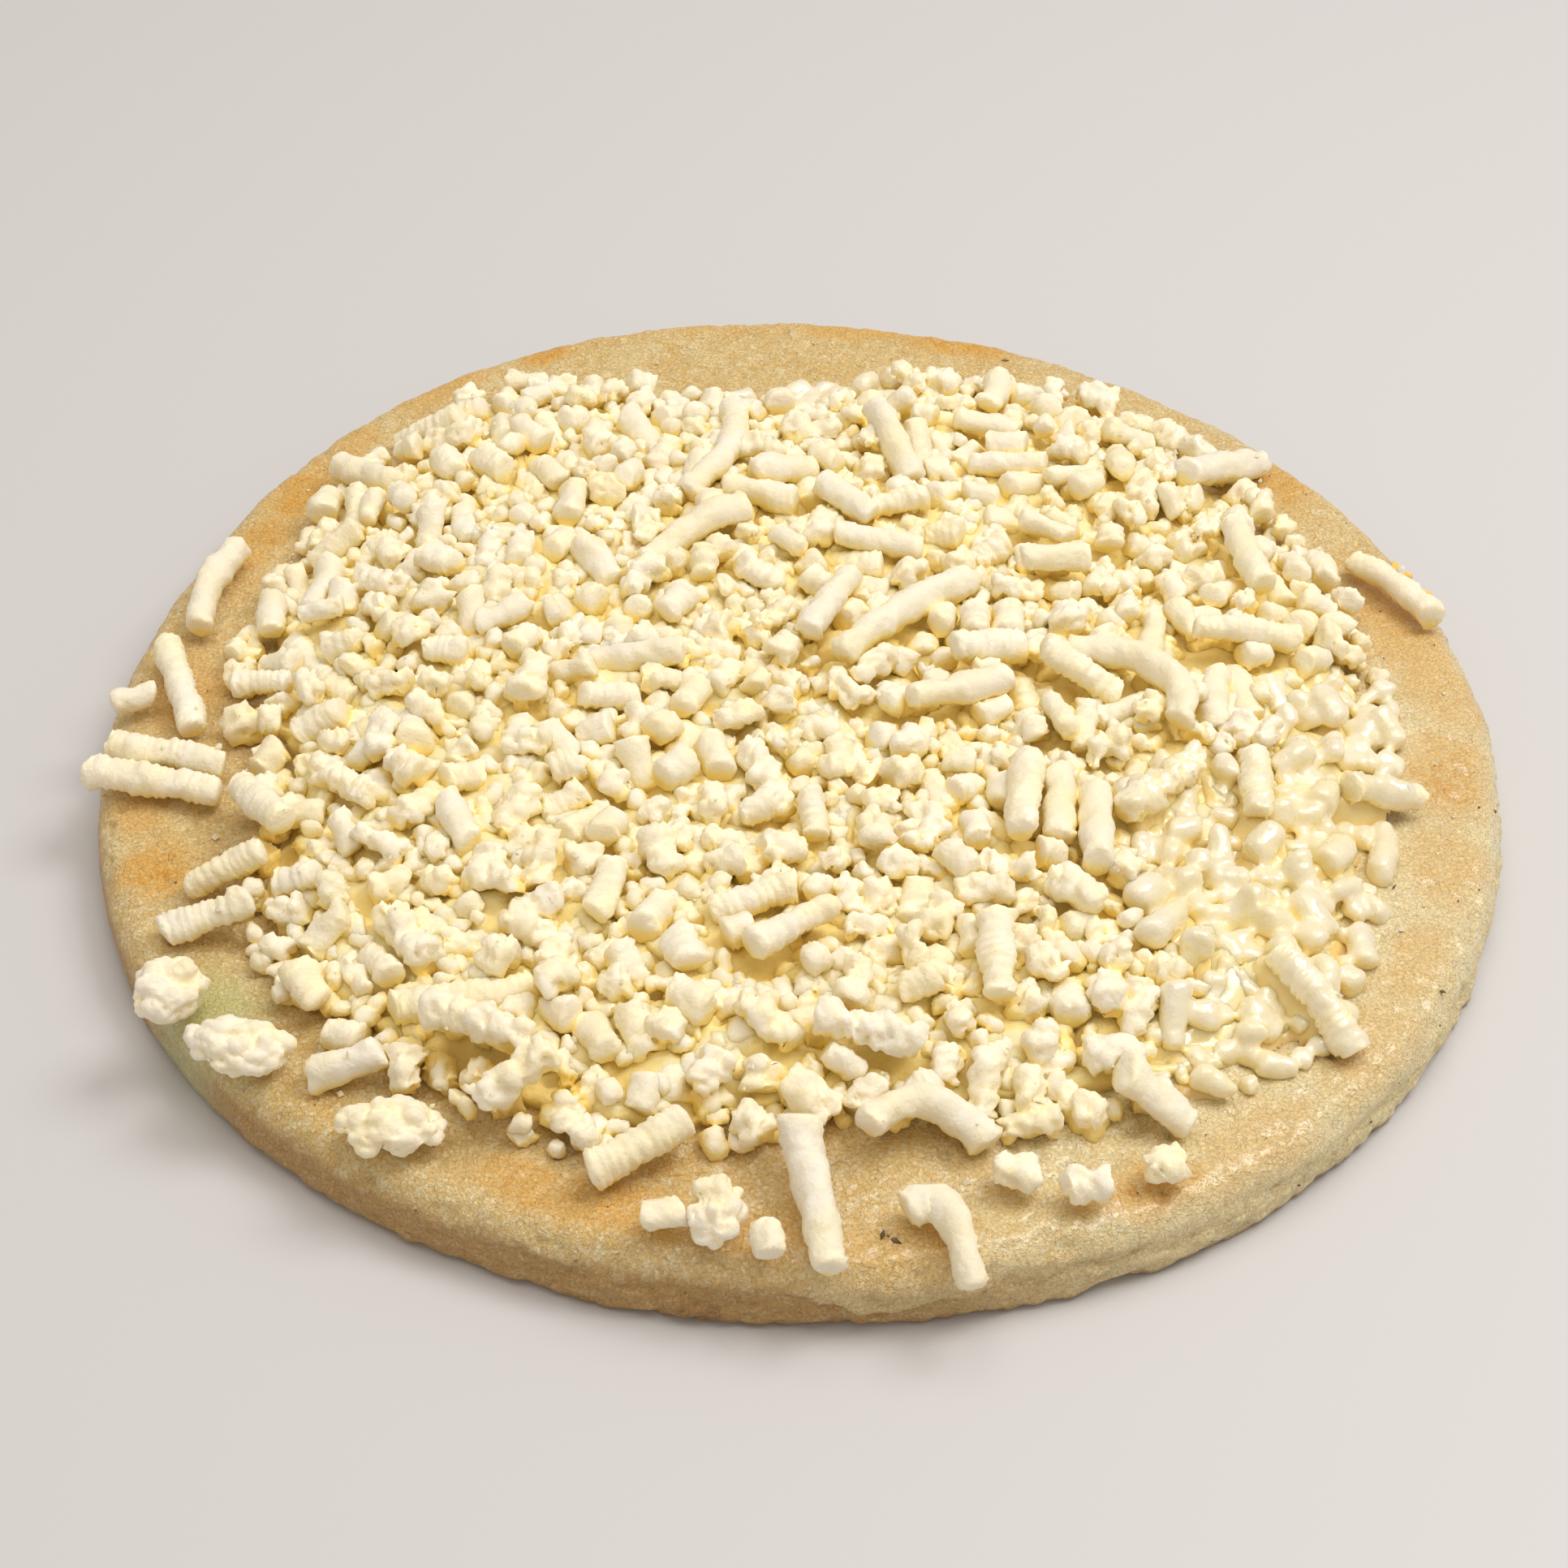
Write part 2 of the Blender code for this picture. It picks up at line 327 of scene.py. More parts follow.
def tube(axis, radius, look):
    """Points, outward directions and triangles of one strand or nub along its axis."""
    lengths = np.concatenate([[0.0], np.cumsum(np.linalg.norm(np.diff(axis, axis=0), axis=1))])
    total = lengths[-1]
    soft = look["soft"] * rng.uniform(0.7, 1.8)
    ends = ((0.0, 0.48), (0.03 + 0.10 * soft, 0.76), (0.12 + 0.24 * soft, 0.93), (0.32 + 0.55 * soft, 1.0))
    near = min(ends[-1][0], 0.3 * total)
    body = max(2, int(round((total - 2 * near) / look["step"])))
    middle = np.linspace(near, total - near, body + 1)
    inset = np.array([e[0] for e in ends[:-1]]) * near / ends[-1][0]
    share = np.array([e[1] for e in ends[:-1]])
    along = np.concatenate([inset, middle, (total - inset)[::-1]])
    factor = np.concatenate([share, np.ones(body + 1), share[::-1]])
    centre = np.column_stack([np.interp(along, lengths, axis[:, k]) for k in range(3)])
    tangent = unit(np.gradient(centre, axis=0))
    side = unit(np.cross(tangent, (0.0, 0.0, 1.0)))
    top = np.cross(side, tangent)

    sides = look["sides"]
    turn = np.arange(sides) / sides
    angle = 2 * math.pi * turn - 0.3 * np.sin(2 * math.pi * turn)
    oval = 1.0 + 0.10 * rng.uniform(-1, 1) * np.cos(2 * angle + rng.uniform(0, 2 * math.pi))
    swell = 1.0 + 0.04 * np.sin(along * rng.uniform(0.5, 1.1) + rng.uniform(0, 6.3))
    taper = 1.0 + rng.uniform(-0.16, 0.16) * (2 * along / total - 1.0)
    size = radius * factor * swell * taper
    if look["ridge"] > 0.0:
        beat = along / (RIDGE_SPACING * rng.uniform(0.9, 1.15)) + rng.uniform(0, 1)
        beat = beat + 0.3 * np.sin(along * rng.uniform(0.8, 1.7) + rng.uniform(0, 6.3))
        lean = 0.25 * np.sin(angle + rng.uniform(0, 6.3))
        wave = np.abs(np.cos(math.pi * (beat[:, None] + lean[None, :])))
        relief = look["ridge"] * (wave - 0.6) * np.minimum(1.0, factor[:, None] ** 3)
    else:
        relief = np.zeros((len(along), sides))
    rim = (factor > 0.9) & (along < 2.0 * near + 0.01) | (factor > 0.9) & (along > total - 2.0 * near - 0.01)
    relief = relief + look["fray"] * rng.normal(size=relief.shape) * (0.45 + 0.75 * rim[:, None])
    ray = np.cos(angle)[None, :, None] * top[:, None, :] + np.sin(angle)[None, :, None] * side[:, None, :]
    reach = size[:, None] * oval[None, :] + relief
    points = centre[:, None, :] + ray * reach[:, :, None]

    start_tilt, end_tilt = rng.uniform(0.0, 0.45, 2)
    start_side, end_side = rng.uniform(0, 2 * math.pi, 2)
    near_start = smooth_step(1.0 - along / (2.5 * near))
    near_end = smooth_step(1.0 - (total - along) / (2.5 * near))
    lean = near_start[:, None] * start_tilt * np.cos(angle - start_side)[None, :]
    lean = lean + near_end[:, None] * end_tilt * np.cos(angle - end_side)[None, :]
    points = points + tangent[:, None, :] * (lean * reach)[:, :, None]

    facing = np.where(along < total / 2, -1.0, 1.0) * np.clip(1.25 - factor, 0.0, 0.6) * (factor < 1.0)
    outward = unit(ray + tangent[:, None, :] * 2.0 * facing[:, None, None])
    poles = np.array([centre[0] - tangent[0] * 0.1, centre[-1] + tangent[-1] * 0.1])
    points = np.concatenate([points.reshape(-1, 3), poles])
    outward = np.concatenate([outward.reshape(-1, 3), [-tangent[0], tangent[-1]]])
    return points, outward, tube_triangles(len(along), sides)


# ---------------------------------------------------------------- how a piece comes to rest

def plan_of(x, y, heading, length, bend):
    """A strand seen from above, bent evenly into an arc about its middle. Angles are in radians."""
    count = max(5, int(round(length / 0.7)))
    s = np.linspace(-length / 2, length / 2, count)
    angle = heading + bend * s / length
    step = s[1] - s[0]
    walk = np.column_stack([np.cos(angle), np.sin(angle)]) * step
    route = np.cumsum(walk, axis=0)
    return s, route - route.mean(axis=0) + (x, y)


def clearance(plan, radius, ground):
    """The lowest height at which each point of a strand clears what lies under it."""
    along = unit(np.gradient(plan, axis=0))
    across = np.column_stack([-along[:, 1], along[:, 0]])
    need = np.full(len(plan), -1e9)
    for share in (-0.9, -0.6, -0.3, 0.0, 0.3, 0.6, 0.9):
        beneath = ground[cell_of(plan + across * share * radius)]
        need = np.maximum(need, beneath + radius * math.sqrt(1 - share * share))
    return need - SINK


def balanced(s, need):
    """A stiff strand rests on two points, one to each side of its middle."""
    left, right = s < -0.1, s > 0.1
    sl, sr = s[left][:, None], s[right][None, :]
    nl, nr = need[left][:, None], need[right][None, :]
    at_middle = (nl * sr - nr * sl) / (sr - sl)
    best = np.unravel_index(np.argmax(at_middle), at_middle.shape)
    slope = (nr[0, best[1]] - nl[best[0], 0]) / (sr[0, best[1]] - sl[best[0], 0])
    slope = max(-STEEPEST, min(STEEPEST, slope))
    return np.max(need - slope * s) + slope * s


def draped(need, heights):
    """A long soft strand sags onto what lies under it."""
    for _ in range(90):
        heights[1:-1] = np.maximum(need[1:-1], 0.5 * (heights[:-2] + heights[2:]) - 0.006)
        heights[0] = max(need[0], 2 * heights[1] - heights[2] - 0.01)
        heights[-1] = max(need[-1], 2 * heights[-2] - heights[-3] - 0.01)
    return heights


def stamp(ground, axis, radius):
    """Raises the height map to the top of a strand."""
    low = axis[:, :2].min(axis=0) - radius
    high = axis[:, :2].max(axis=0) + radius
    rows, columns = cell_of(np.array([low, high]))
    row = np.arange(rows[0], rows[1] + 1)
    column = np.arange(columns[0], columns[1] + 1)
    x = column * STEP - HALF
    y = row * STEP - HALF
    away = (x[None, :, None] - axis[:, 0]) ** 2 + (y[:, None, None] - axis[:, 1]) ** 2
    inside = radius * radius - away
    top = np.where(inside > 0, axis[:, 2] + np.sqrt(np.maximum(inside, 0.0)), -1e9).max(axis=2)
    block = np.ix_(row, column)
    ground[block] = np.maximum(ground[block], top)


# ---------------------------------------------------------------- strands that are nodes of their own

def strand_axis(name):
    """Middle line and radius of a CAD strand, from the rings of points along its tube."""
    source = bmesh.new()
    source.from_mesh(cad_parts[name].data)
    bmesh.ops.remove_doubles(source, verts=source.verts[:], dist=1e-6)
    flat = source.copy()
    bmesh.ops.dissolve_limit(flat, angle_limit=math.radians(1), verts=flat.verts[:], edges=flat.edges[:])
    cap = max(flat.faces, key=lambda face: len(face.verts))
    corners = [v.co.copy() for v in cap.verts]
    flat.free()
    ring = {v for v in source.verts if min((v.co - c).length for c in corners) < 1e-6}
    middles, radii, seen = [], [], set()
    while ring:
        places = np.array([v.co for v in ring]) / MM
        middles.append(places.mean(axis=0))
        radii.append(np.linalg.norm(places - middles[-1], axis=1).mean())
        seen |= ring
        ring = {edge.other_vert(v) for v in ring for edge in v.link_edges} - seen
    source.free()
    return np.array(middles), float(np.median(radii))


STRAND_NODES = {
    "front_long_strand": "smooth",
    "front_hooked_strand": "smooth",
    "front_nub": "smooth",
    "front_pellet": "smooth",
    "front_chunk_left": "torn",
    "front_chunk_middle": "torn",
    "front_chunk_right": "torn",
    "left_upper_strand": "ridged",
    "left_lower_strand": "ridged",
    "left_forked_strand": "ridged",
    "left_stub": "smooth",
    "back_left_strand": "smooth",
    "right_rim_strand": "smooth",
}
LUMP_NODES = ("front_lump", "front_left_lump", "left_front_lump", "left_rim_lump")


# ---------------------------------------------------------------- the heap

def kind_at(x, y):
    """Crumbly nubs lie mostly at the front and left, smooth ones at the back and right."""
    torn = 0.32 + 0.34 * smooth_step((28 - y) / 45) * smooth_step((50 - x) / 50)
    draw = rng.random()
    if draw < torn:
        return "torn"
    return "ridged" if draw < torn + 0.18 else "smooth"


SIZES = {
    "smooth": (4.2, 0.38, 1.68, 0.18),
    "torn": (3.9, 0.36, 1.55, 0.28),
    "ridged": (5.0, 0.32, 1.74, 0.14),
    "scrap": (2.2, 0.28, 1.05, 0.22),
}


def size_of(kind):
    """Length and radius of a piece, drawn round the usual ones of its kind."""
    length, spread, radius, wobble = SIZES[kind]
    length = length * math.exp(spread * rng.normal())
    radius = radius + wobble * max(-1.8, min(1.8, rng.normal()))
    return max(length, 1.5 * radius), radius


def lay(ground, x, y, heading, length, bend, radius, soft=False):
    """The axis of a strand at rest on the ground, without raising the ground yet."""
    s, plan = plan_of(x, y, heading, length, bend)
    need = clearance(plan, radius, ground)
    heights = balanced(s, need)
    if soft:
        heights = draped(need, heights)
    return np.column_stack([plan, heights])


def five_point_mean(ground, spots, away=1.6):
    total = ground[cell_of(spots)]
    for offset in ((away, 0), (-away, 0), (0, away), (0, -away)):
        total = total + ground[cell_of(spots + offset)]
    return total / 5


FILL_MISSES = 90
SCRAP_SHARE = 0.12
ENOUGH = 0.7
PROUD = {"smooth": 2.9, "torn": 2.9, "ridged": 2.9, "scrap": 0.9}


def find_rest(ground, goal, inside, ceiling, kind, x, y):
    """The axis and radius of a piece that comes to rest low enough at this place, or None."""
    length, radius = size_of(kind)
    bend = rng.normal() * 0.35 if length > 6 else 0.0
    for _ in range(5):
        heading = rng.uniform(0, 2 * math.pi)
        axis = lay(ground, x, y, heading, length, bend, radius)
        top = axis[:, 2] + radius
        proud = (top - goal[cell_of(axis[:, :2])]).max()
        if inside[cell_of(axis[[0, -1], :2])].all() and top.max() < ceiling and proud < PROUD[kind]:
            return axis, radius
    return None


def fill_heap(ground, goal, inside, around, ceiling):
    """Drops nubs and scraps into the lowest places until the heap stands as high as its goal."""
    laid = {kind: [] for kind in LOOKS}
    misses = 0
    while misses < FILL_MISSES:
        spots = rng.uniform(-80, 80, (70, 2))
        spots = spots[inside[cell_of(spots)]]
        lack = goal[cell_of(spots)] - five_point_mean(ground, spots)
        best = int(np.argmax(lack))
        x, y = spots[best]
        if lack[best] < ENOUGH:
            misses += 1
            continue
        kind = "scrap" if rng.random() < SCRAP_SHARE else kind_at(x, y)
        found = find_rest(ground, goal, around, ceiling, kind, x, y)
        if found is None:
            kind = "scrap"
            found = find_rest(ground, goal, around, ceiling, kind, x, y)
        if found is None:
            misses += 1
            continue
        axis, radius = found
        melt = float(melt_at((x, y))[0])
        if melt > 0.5:
            kind = "melted"
            axis[:, 2] -= 0.5 * melt
        stamp(ground, axis, radius)
        laid[kind].append((axis, radius))
        misses = max(0, misses - 1)
    return laid


GAP_TRIES = 760
GAP_DEPTH = 1.15


def fill_gaps(ground, goal, inside, laid):
    """Small curds pressed into the gaps that are too narrow for a whole nub."""
    for _ in range(GAP_TRIES):
        spots = rng.uniform(-80, 80, (60, 2))
        spots = spots[inside[cell_of(spots)]]
        lack = goal[cell_of(spots)] - ground[cell_of(spots)]
        best = int(np.argmax(lack))
        if lack[best] < GAP_DEPTH:
            continue
        x, y = spots[best]
        radius = rng.uniform(0.8, 1.25)
        s, plan = plan_of(x, y, rng.uniform(0, 2 * math.pi), rng.uniform(1.8, 3.0), 0.0)
        low = float(ground[cell_of(spots[best])]) + 0.5 * radius
        rest = float(goal[cell_of(spots[best])]) - GAP_DEPTH - 0.7 * radius + rng.uniform(-0.4, 0.3)
        axis = np.column_stack([plan, np.full(len(plan), max(low, rest)) + rng.uniform(-0.2, 0.2) * s])
        stamp(ground, axis, radius)
        laid["melted" if melt_at((x, y))[0] > 0.5 else "scrap"].append((axis, radius))


def grown(mask, cells):
    """The mask, wider by this many cells on every side."""
    for _ in range(cells):
        mask = mask | np.roll(mask, 1, 0) | np.roll(mask, -1, 0) | np.roll(mask, 1, 1) | np.roll(mask, -1, 1)
    return mask


def build_heap():
    cake_top = heights_of("corn_cake", -1.0)
    heap_top = heights_of("cheese_heap", -1.0)
    inside = heap_top > 0
    shape = np.where(inside, heap_top, 10.0)
    ground_cells = np.argwhere(np.ones_like(inside))
    xy = np.column_stack([ground_cells[:, 1], ground_cells[:, 0]]) * STEP - HALF
    melt = melt_at(xy).reshape(inside.shape)
    goal = blurred(shape, BLUR) + OVER_GOAL - 0.9 * melt
    goal = np.where(inside, np.maximum(goal, cake_top + EDGE_HEIGHT - 0.8 * melt), goal)
    core = goal - CORE_DEPTH
    ground = np.maximum(cake_top, np.where(inside, core, -1.0))
    ceiling = CAD_BOX[1][2] / MM + CEILING

    fixed = {}
    for name, kind in STRAND_NODES.items():
        axis, radius = strand_axis(name)
        stamp(ground, axis, radius)
        fixed[name] = (kind, axis, radius)
    for name in LUMP_NODES:
        ground = np.maximum(ground, heights_of(name, -1.0))

    landmarks = []
    for kind, x, y, heading, length, bend in LANDMARKS:
        s, plan = plan_of(x, y, math.radians(heading), length, math.radians(bend))
        hollow = np.column_stack([plan, np.zeros(len(plan))])
        mark = np.full_like(ground, -1e9)
        stamp(mark, hollow, STRAND_RADIUS * 0.9)
        goal = np.where(mark > -1e8, goal - 2.4, goal)
        landmarks.append((kind, x, y, math.radians(heading), length, math.radians(bend)))

    laid = fill_heap(ground, goal, inside, grown(inside, 2), ceiling)
    print("HEAP", {k: len(v) for k, v in laid.items()}, "mean over goal", (ground - goal)[inside].mean(), "mean over cad", (ground - shape)[inside].mean())
    for kind, x, y, heading, length, bend in landmarks:
        radius = LANDMARK_RADIUS + rng.normal() * 0.08
        axis = lay(ground, x, y, heading, length, bend, radius, soft=length > 12)
        axis[:, 2] += min(0.0, ceiling - 0.1 - radius - axis[:, 2].max())
        if melt_at((x, y))[0] > 0.5:
            axis[:, 2] -= 0.5
        stamp(ground, axis, radius)
        laid[kind].append((axis, radius))
    fill_gaps(ground, goal, inside, laid)
    print("HEAP2", {k: len(v) for k, v in laid.items()}, "mean over cad", (ground - shape)[inside].mean())
    return dict(ground=ground, goal=goal, core=core, inside=inside, laid=laid, fixed=fixed, cake=cake_top)


# ---------------------------------------------------------------- meshes

def make_object(name, points, triangles, material, slot, replaced=(), flat=False, **fields):
    """A mesh object from points in mm, with one number for each point in each named field."""
    mesh = bpy.data.meshes.new(name)
    mesh.from_pydata((points * MM).tolist(), [], triangles.tolist())
    for field, values in fields.items():
        mesh.attributes.new(field, "FLOAT", "POINT").data.foreach_set("value", values.astype(np.float32))
    if not flat:
        mesh.shade_smooth()
    mesh.materials.append(material)
    piece = bpy.data.objects.new(name, mesh)
    bpy.context.scene.collection.objects.link(piece)
    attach(piece, "root")
    if replaced:
        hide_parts(*replaced)
    return piece


def depth_of(points, outward, envelope):
    """How little light reaches each point, the measure of the cheese's painted shade: 0 on top of the heap, 1 down in
    the crevices and on undersides.
    """
    lack = (envelope[cell_of(points[:, :2])] + 0.4 - points[:, 2]) / 3.2
    return smooth_step(lack + 0.42 * (0.3 - outward[:, 2]))


def cheese_object(name, batch, heap, replaced=()):
    points, outward, triangles, tints = batch.joined()
    depth = depth_of(points, outward, heap["envelope"])
    melt = melt_at(points[:, :2])
    return make_object(name, points, triangles, heap["material"], "cheese", replaced,
                       depth=depth, melt=melt, tint=tints)


def add_tube(batch, axis, radius):
    points, outward, triangles = tube(axis, radius, LOOKS[batch.kind])
    batch.add(points, outward, triangles, rng.uniform(0, 1))


CORE_FLOOR = 8.6
CORE_SECTORS = 330
CORE_RINGS = 84


def build_core(heap):
    """The cheese under the loose pieces: a low bumpy mound, shut underneath."""
    angles = np.arange(CORE_SECTORS) * 2 * math.pi / CORE_SECTORS
    walk = np.arange(20, 84, STEP)
    reach = []
    for angle in angles:
        line = np.column_stack([walk * math.cos(angle), walk * math.sin(angle)])
        reach.append(walk[heap["inside"][cell_of(line)]].max() - 4.0)
    share = np.linspace(1.0, 0.0, CORE_RINGS, endpoint=False)
    radius = share[:, None] * np.array(reach)[None, :]
    flat = np.column_stack([(radius * np.cos(angles)).ravel(), (radius * np.sin(angles)).ravel()])
    spots = np.column_stack([flat, heap["core"][cell_of(flat)]])
    z = spots[:, 2] + CORE_RISE + 0.8 * noise(spots, 4.0, 51) + 2.2 * knobs(spots, 2.7, 52) - 1.3
    top = np.column_stack([flat, np.maximum(z, CORE_FLOOR + 0.2)])
    foot = np.column_stack([flat[:CORE_SECTORS], np.full(CORE_SECTORS, CORE_FLOOR)])
    poles = [[0, 0, CORE_FLOOR], [0, 0, heap["core"][cell_of([0, 0])]]]
    points = np.vstack([foot, top, poles])
    triangles = tube_triangles(CORE_RINGS + 1, CORE_SECTORS)
    # painted shade: the low core is painted at least partly shaded, and more so in its hollows
    depth = 0.35 + 0.55 * depth_of(points, vertex_normals(points, triangles), heap["envelope"])
    make_object("cheese_core", points, triangles, heap["material"], "cheese", ("cheese_heap",), depth=depth, melt=melt_at(points[:, :2]), tint=np.full(len(points), 0.5))


MELT_VOXEL = 0.42
MELT_SMOOTHING = 1


def remeshed(points, triangles, voxel):
    """One skin round all the given closed shapes, in cells of voxel mm."""
    mesh = bpy.data.meshes.new("soft")
    mesh.from_pydata((points * MM).tolist(), [], triangles.tolist())
    soft = bpy.data.objects.new("soft", mesh)
    bpy.context.scene.collection.objects.link(soft)
    skin = soft.modifiers.new("skin", "REMESH")
    skin.mode = "VOXEL"
    skin.voxel_size = voxel * MM
    result = soft.evaluated_get(bpy.context.evaluated_depsgraph_get()).to_mesh()
    result.calc_loop_triangles()
    flat = np.empty(len(result.vertices) * 3, np.float32)
    result.vertices.foreach_get("co", flat)
    corners = np.empty(len(result.loop_triangles) * 3, np.int32)
    result.loop_triangles.foreach_get("vertices", corners)
    bpy.data.objects.remove(soft)
    return flat.reshape(-1, 3).astype(float) / MM, corners.reshape(-1, 3)


def smoothed(points, triangles, rounds):
    """Each point moves half way to the middle of its neighbours, rounds times."""
    pairs = np.concatenate([triangles[:, [0, 1]], triangles[:, [1, 2]], triangles[:, [2, 0]]])
    weight = np.bincount(pairs[:, 0], minlength=len(points))[:, None]
    for _ in range(rounds):
        middle = np.column_stack([
            np.bincount(pairs[:, 0], weights=points[pairs[:, 1], k], minlength=len(points)) for k in range(3)])
        points = 0.5 * points + 0.5 * middle / np.maximum(weight, 1)
    return points


def vertex_normals(points, triangles):
    a, b, c = (points[triangles[:, k]] for k in range(3))
    face = np.cross(b - a, c - a)
    normal = np.zeros_like(points)
    for k in range(3):
        for axis in range(3):
            normal[:, axis] += np.bincount(triangles[:, k], weights=face[:, axis], minlength=len(points))
    return unit(normal)


def build_melted(heap):
    """The strands that have begun to melt, run together into one soft mass."""
    batch = Batch("melted")
    for axis, radius in heap["laid"]["melted"]:
        add_tube(batch, axis, radius)
    points, outward, triangles, tints = batch.joined()
    points, triangles = remeshed(points, triangles, MELT_VOXEL)
    points = smoothed(points, triangles, MELT_SMOOTHING)
    normal = vertex_normals(points, triangles)
    points = points + normal * (0.10 * noise(points, 1.0, 61) + 0.10)[:, None]
    make_object("melted_cheese", points, triangles, heap["material"], "cheese",
                depth=depth_of(points, normal, heap["envelope"]), melt=np.maximum(0.55, melt_at(points[:, :2])),
                tint=0.5 + 0.5 * noise(points, 6.0, 62))


def build_lumps(heap):
    """The knots of fused curds that lie clear of the heap, one for each of their nodes."""
    for name in LUMP_NODES:
        source = bmesh.new()
        source.from_mesh(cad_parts[name].data)
        bmesh.ops.remove_doubles(source, verts=source.verts[:], dist=1e-6)
        bmesh.ops.subdivide_edges(source, edges=source.edges[:], cuts=3, use_grid_fill=True, smooth=0.6)
        bmesh.ops.triangulate(source, faces=source.faces[:])
        points = np.array([v.co for v in source.verts]) / MM
        triangles = np.array([[v.index for v in f.verts] for f in source.faces])
        source.free()
        normal = vertex_normals(points, triangles)
        rough = 1.3 * (knobs(points, 2.1, 41) - 0.65) + 0.4 * (knobs(points, 0.9, 44) - 0.7)
        points = points + normal * rough[:, None]
        points[:, 2] = np.maximum(points[:, 2], 8.7)
        # painted shade: each lump is painted yellower towards its foot
        make_object(name + "_curds", points, triangles, heap["material"], "cheese", (name,),
                    depth=smooth_step((11.5 - points[:, 2]) / 4.0) * 0.6, melt=np.full(len(points), 0.25),
                    tint=np.full(len(points), 0.3))


def build_strands(heap):
    """The strands that lie clear of the heap, one for each of their nodes."""
    for name, (kind, axis, radius) in heap["fixed"].items():
        batch = Batch(kind)
        add_tube(batch, axis, radius)
        cheese_object(name + "_cheese", batch, heap, (name,))


# Melted butter: how far it fills the gaps between melting nubs, and pools on the cake: X, Y, reach in mm.
BUTTER_BLUR = 1.1
BUTTER_BELOW = 2.3
BUTTER_POOLS = ()
POOL_DEPTH = 0.35


def slab(mask, top, thickness):
    """A closed skin over the cells of a mask, thickness mm deep."""
    rows, columns = np.nonzero(mask)
    index = np.full(mask.shape, -1)
    index[rows, columns] = np.arange(len(rows))
    spots = np.column_stack([columns * STEP - HALF, rows * STEP - HALF, top[rows, columns]])
    below = spots - (0.0, 0.0, thickness)
    whole = mask[:-1, :-1] & mask[1:, :-1] & mask[:-1, 1:] & mask[1:, 1:]
    r, c = np.nonzero(whole)
    a, b, d, e = index[r, c], index[r, c + 1], index[r + 1, c + 1], index[r + 1, c]
    upper = np.concatenate([np.column_stack([a, b, d]), np.column_stack([a, d, e])])
    count = len(spots)
    lower = upper[:, ::-1] + count
    edges = np.concatenate([upper[:, [0, 1]], upper[:, [1, 2]], upper[:, [2, 0]]])
    keys = edges[:, 0] * count + edges[:, 1]
    border = edges[~np.isin(edges[:, 1] * count + edges[:, 0], keys)]
    f, g = border[:, 0], border[:, 1]
    sides = np.concatenate([np.column_stack([g, f, f + count]), np.column_stack([g, f + count, g + count])])
    triangles = np.concatenate([upper, lower, sides])
    used, compact = np.unique(triangles, return_inverse=True)
    return np.vstack([spots, below])[used], compact.reshape(-1, 3)


def build_butter(heap, material):
    """Butter that has run out of the melting cheese, between the nubs there."""
    cells = np.argwhere(np.ones_like(heap["inside"]))
    flat = np.column_stack([cells[:, 1], cells[:, 0]]) * STEP - HALF
    spots = np.column_stack([flat, np.zeros(len(flat))])
    melt = melt_at(flat)
    level = blurred(heap["ground"], BUTTER_BLUR).ravel() - BUTTER_BELOW + 0.6 * noise(spots, 3.0, 91)
    level -= 4.0 * (1.0 - smooth_step((melt - 0.35) / 0.35))
    cake = heap["cake"].ravel()
    cake = heap["cake"].ravel()
    mask = (level > cake - 0.25) & (melt > 0.4) & heap["inside"].ravel()
    top = level
    shape = heap["inside"].shape
    points, triangles = slab(mask.reshape(shape), top.reshape(shape), 0.6)
    over = points[:, 2] - heap["cake"][cell_of(points[:, :2])]
    make_object("melted_butter", points, triangles, material, "cheese", thin=smooth_step(1.0 - over / 0.8))


# Dark flecks on the cake: angle, reach or None on the wall, height on the wall, length and width in mm.
FLECKS = (
    (277, 81.0, None, 2.4, 0.7), (276.2, 80.2, None, 1.6, 0.5), (337.5, 72.0, None, 2.6, 0.45),
    (337.0, 73.0, None, 1.5, 0.4), (328, 83.0, None, 0.9, 0.5), (350, 82.5, None, 0.8, 0.5),
    (70, 81.3, None, 1.2, 0.7), (245.5, None, 4.2, 0.9, 0.8), (245.2, None, 3.2, 0.8, 0.6),
    (243, None, 6.0, 0.6, 0.45), (279, None, 4.8, 0.55, 0.5), (308, None, 2.6, 0.5, 0.4),
    (300, None, 1.6, 0.8, 0.4), (316, None, 3.4, 0.45, 0.4), (255, None, 6.2, 0.4, 0.35),
)
TINY_FLECKS = 70


def build_specks(heap, material):
    """Burnt flecks and dark grains on the cake."""
    rim = fitted_rim()
    places, sizes, stretch = [], [], []
    rows = [(a, r, z, length, width) for a, r, z, length, width in FLECKS]
    for _ in range(TINY_FLECKS):
        size = rng.uniform(0.2, 0.36)
        on_wall = rng.random() < 0.55
        rows.append((rng.uniform(0, 360), None if on_wall else rng.uniform(70, 82),
                     rng.uniform(1.0, 6.5) if on_wall else None, size, size))
    for degrees, reach, height, length, width in rows:
        angle = math.radians(degrees)
        if reach is None:
            reach = float(rim(np.array([angle]))[0]) - 0.12
        spot = np.array([reach * math.cos(angle), reach * math.sin(angle)])
        if height is None:
            height = float(heap["skin"][cell_of(spot)]) + 0.05
        places.append((*spot, height))
        sizes.append(0.5)
        stretch.append((length, width, min(0.35, width)))
    points, triangles = crumb_shapes(np.array(places), np.array(sizes), np.array(stretch))
    make_object("burnt_flecks", points, triangles, material, "crust")


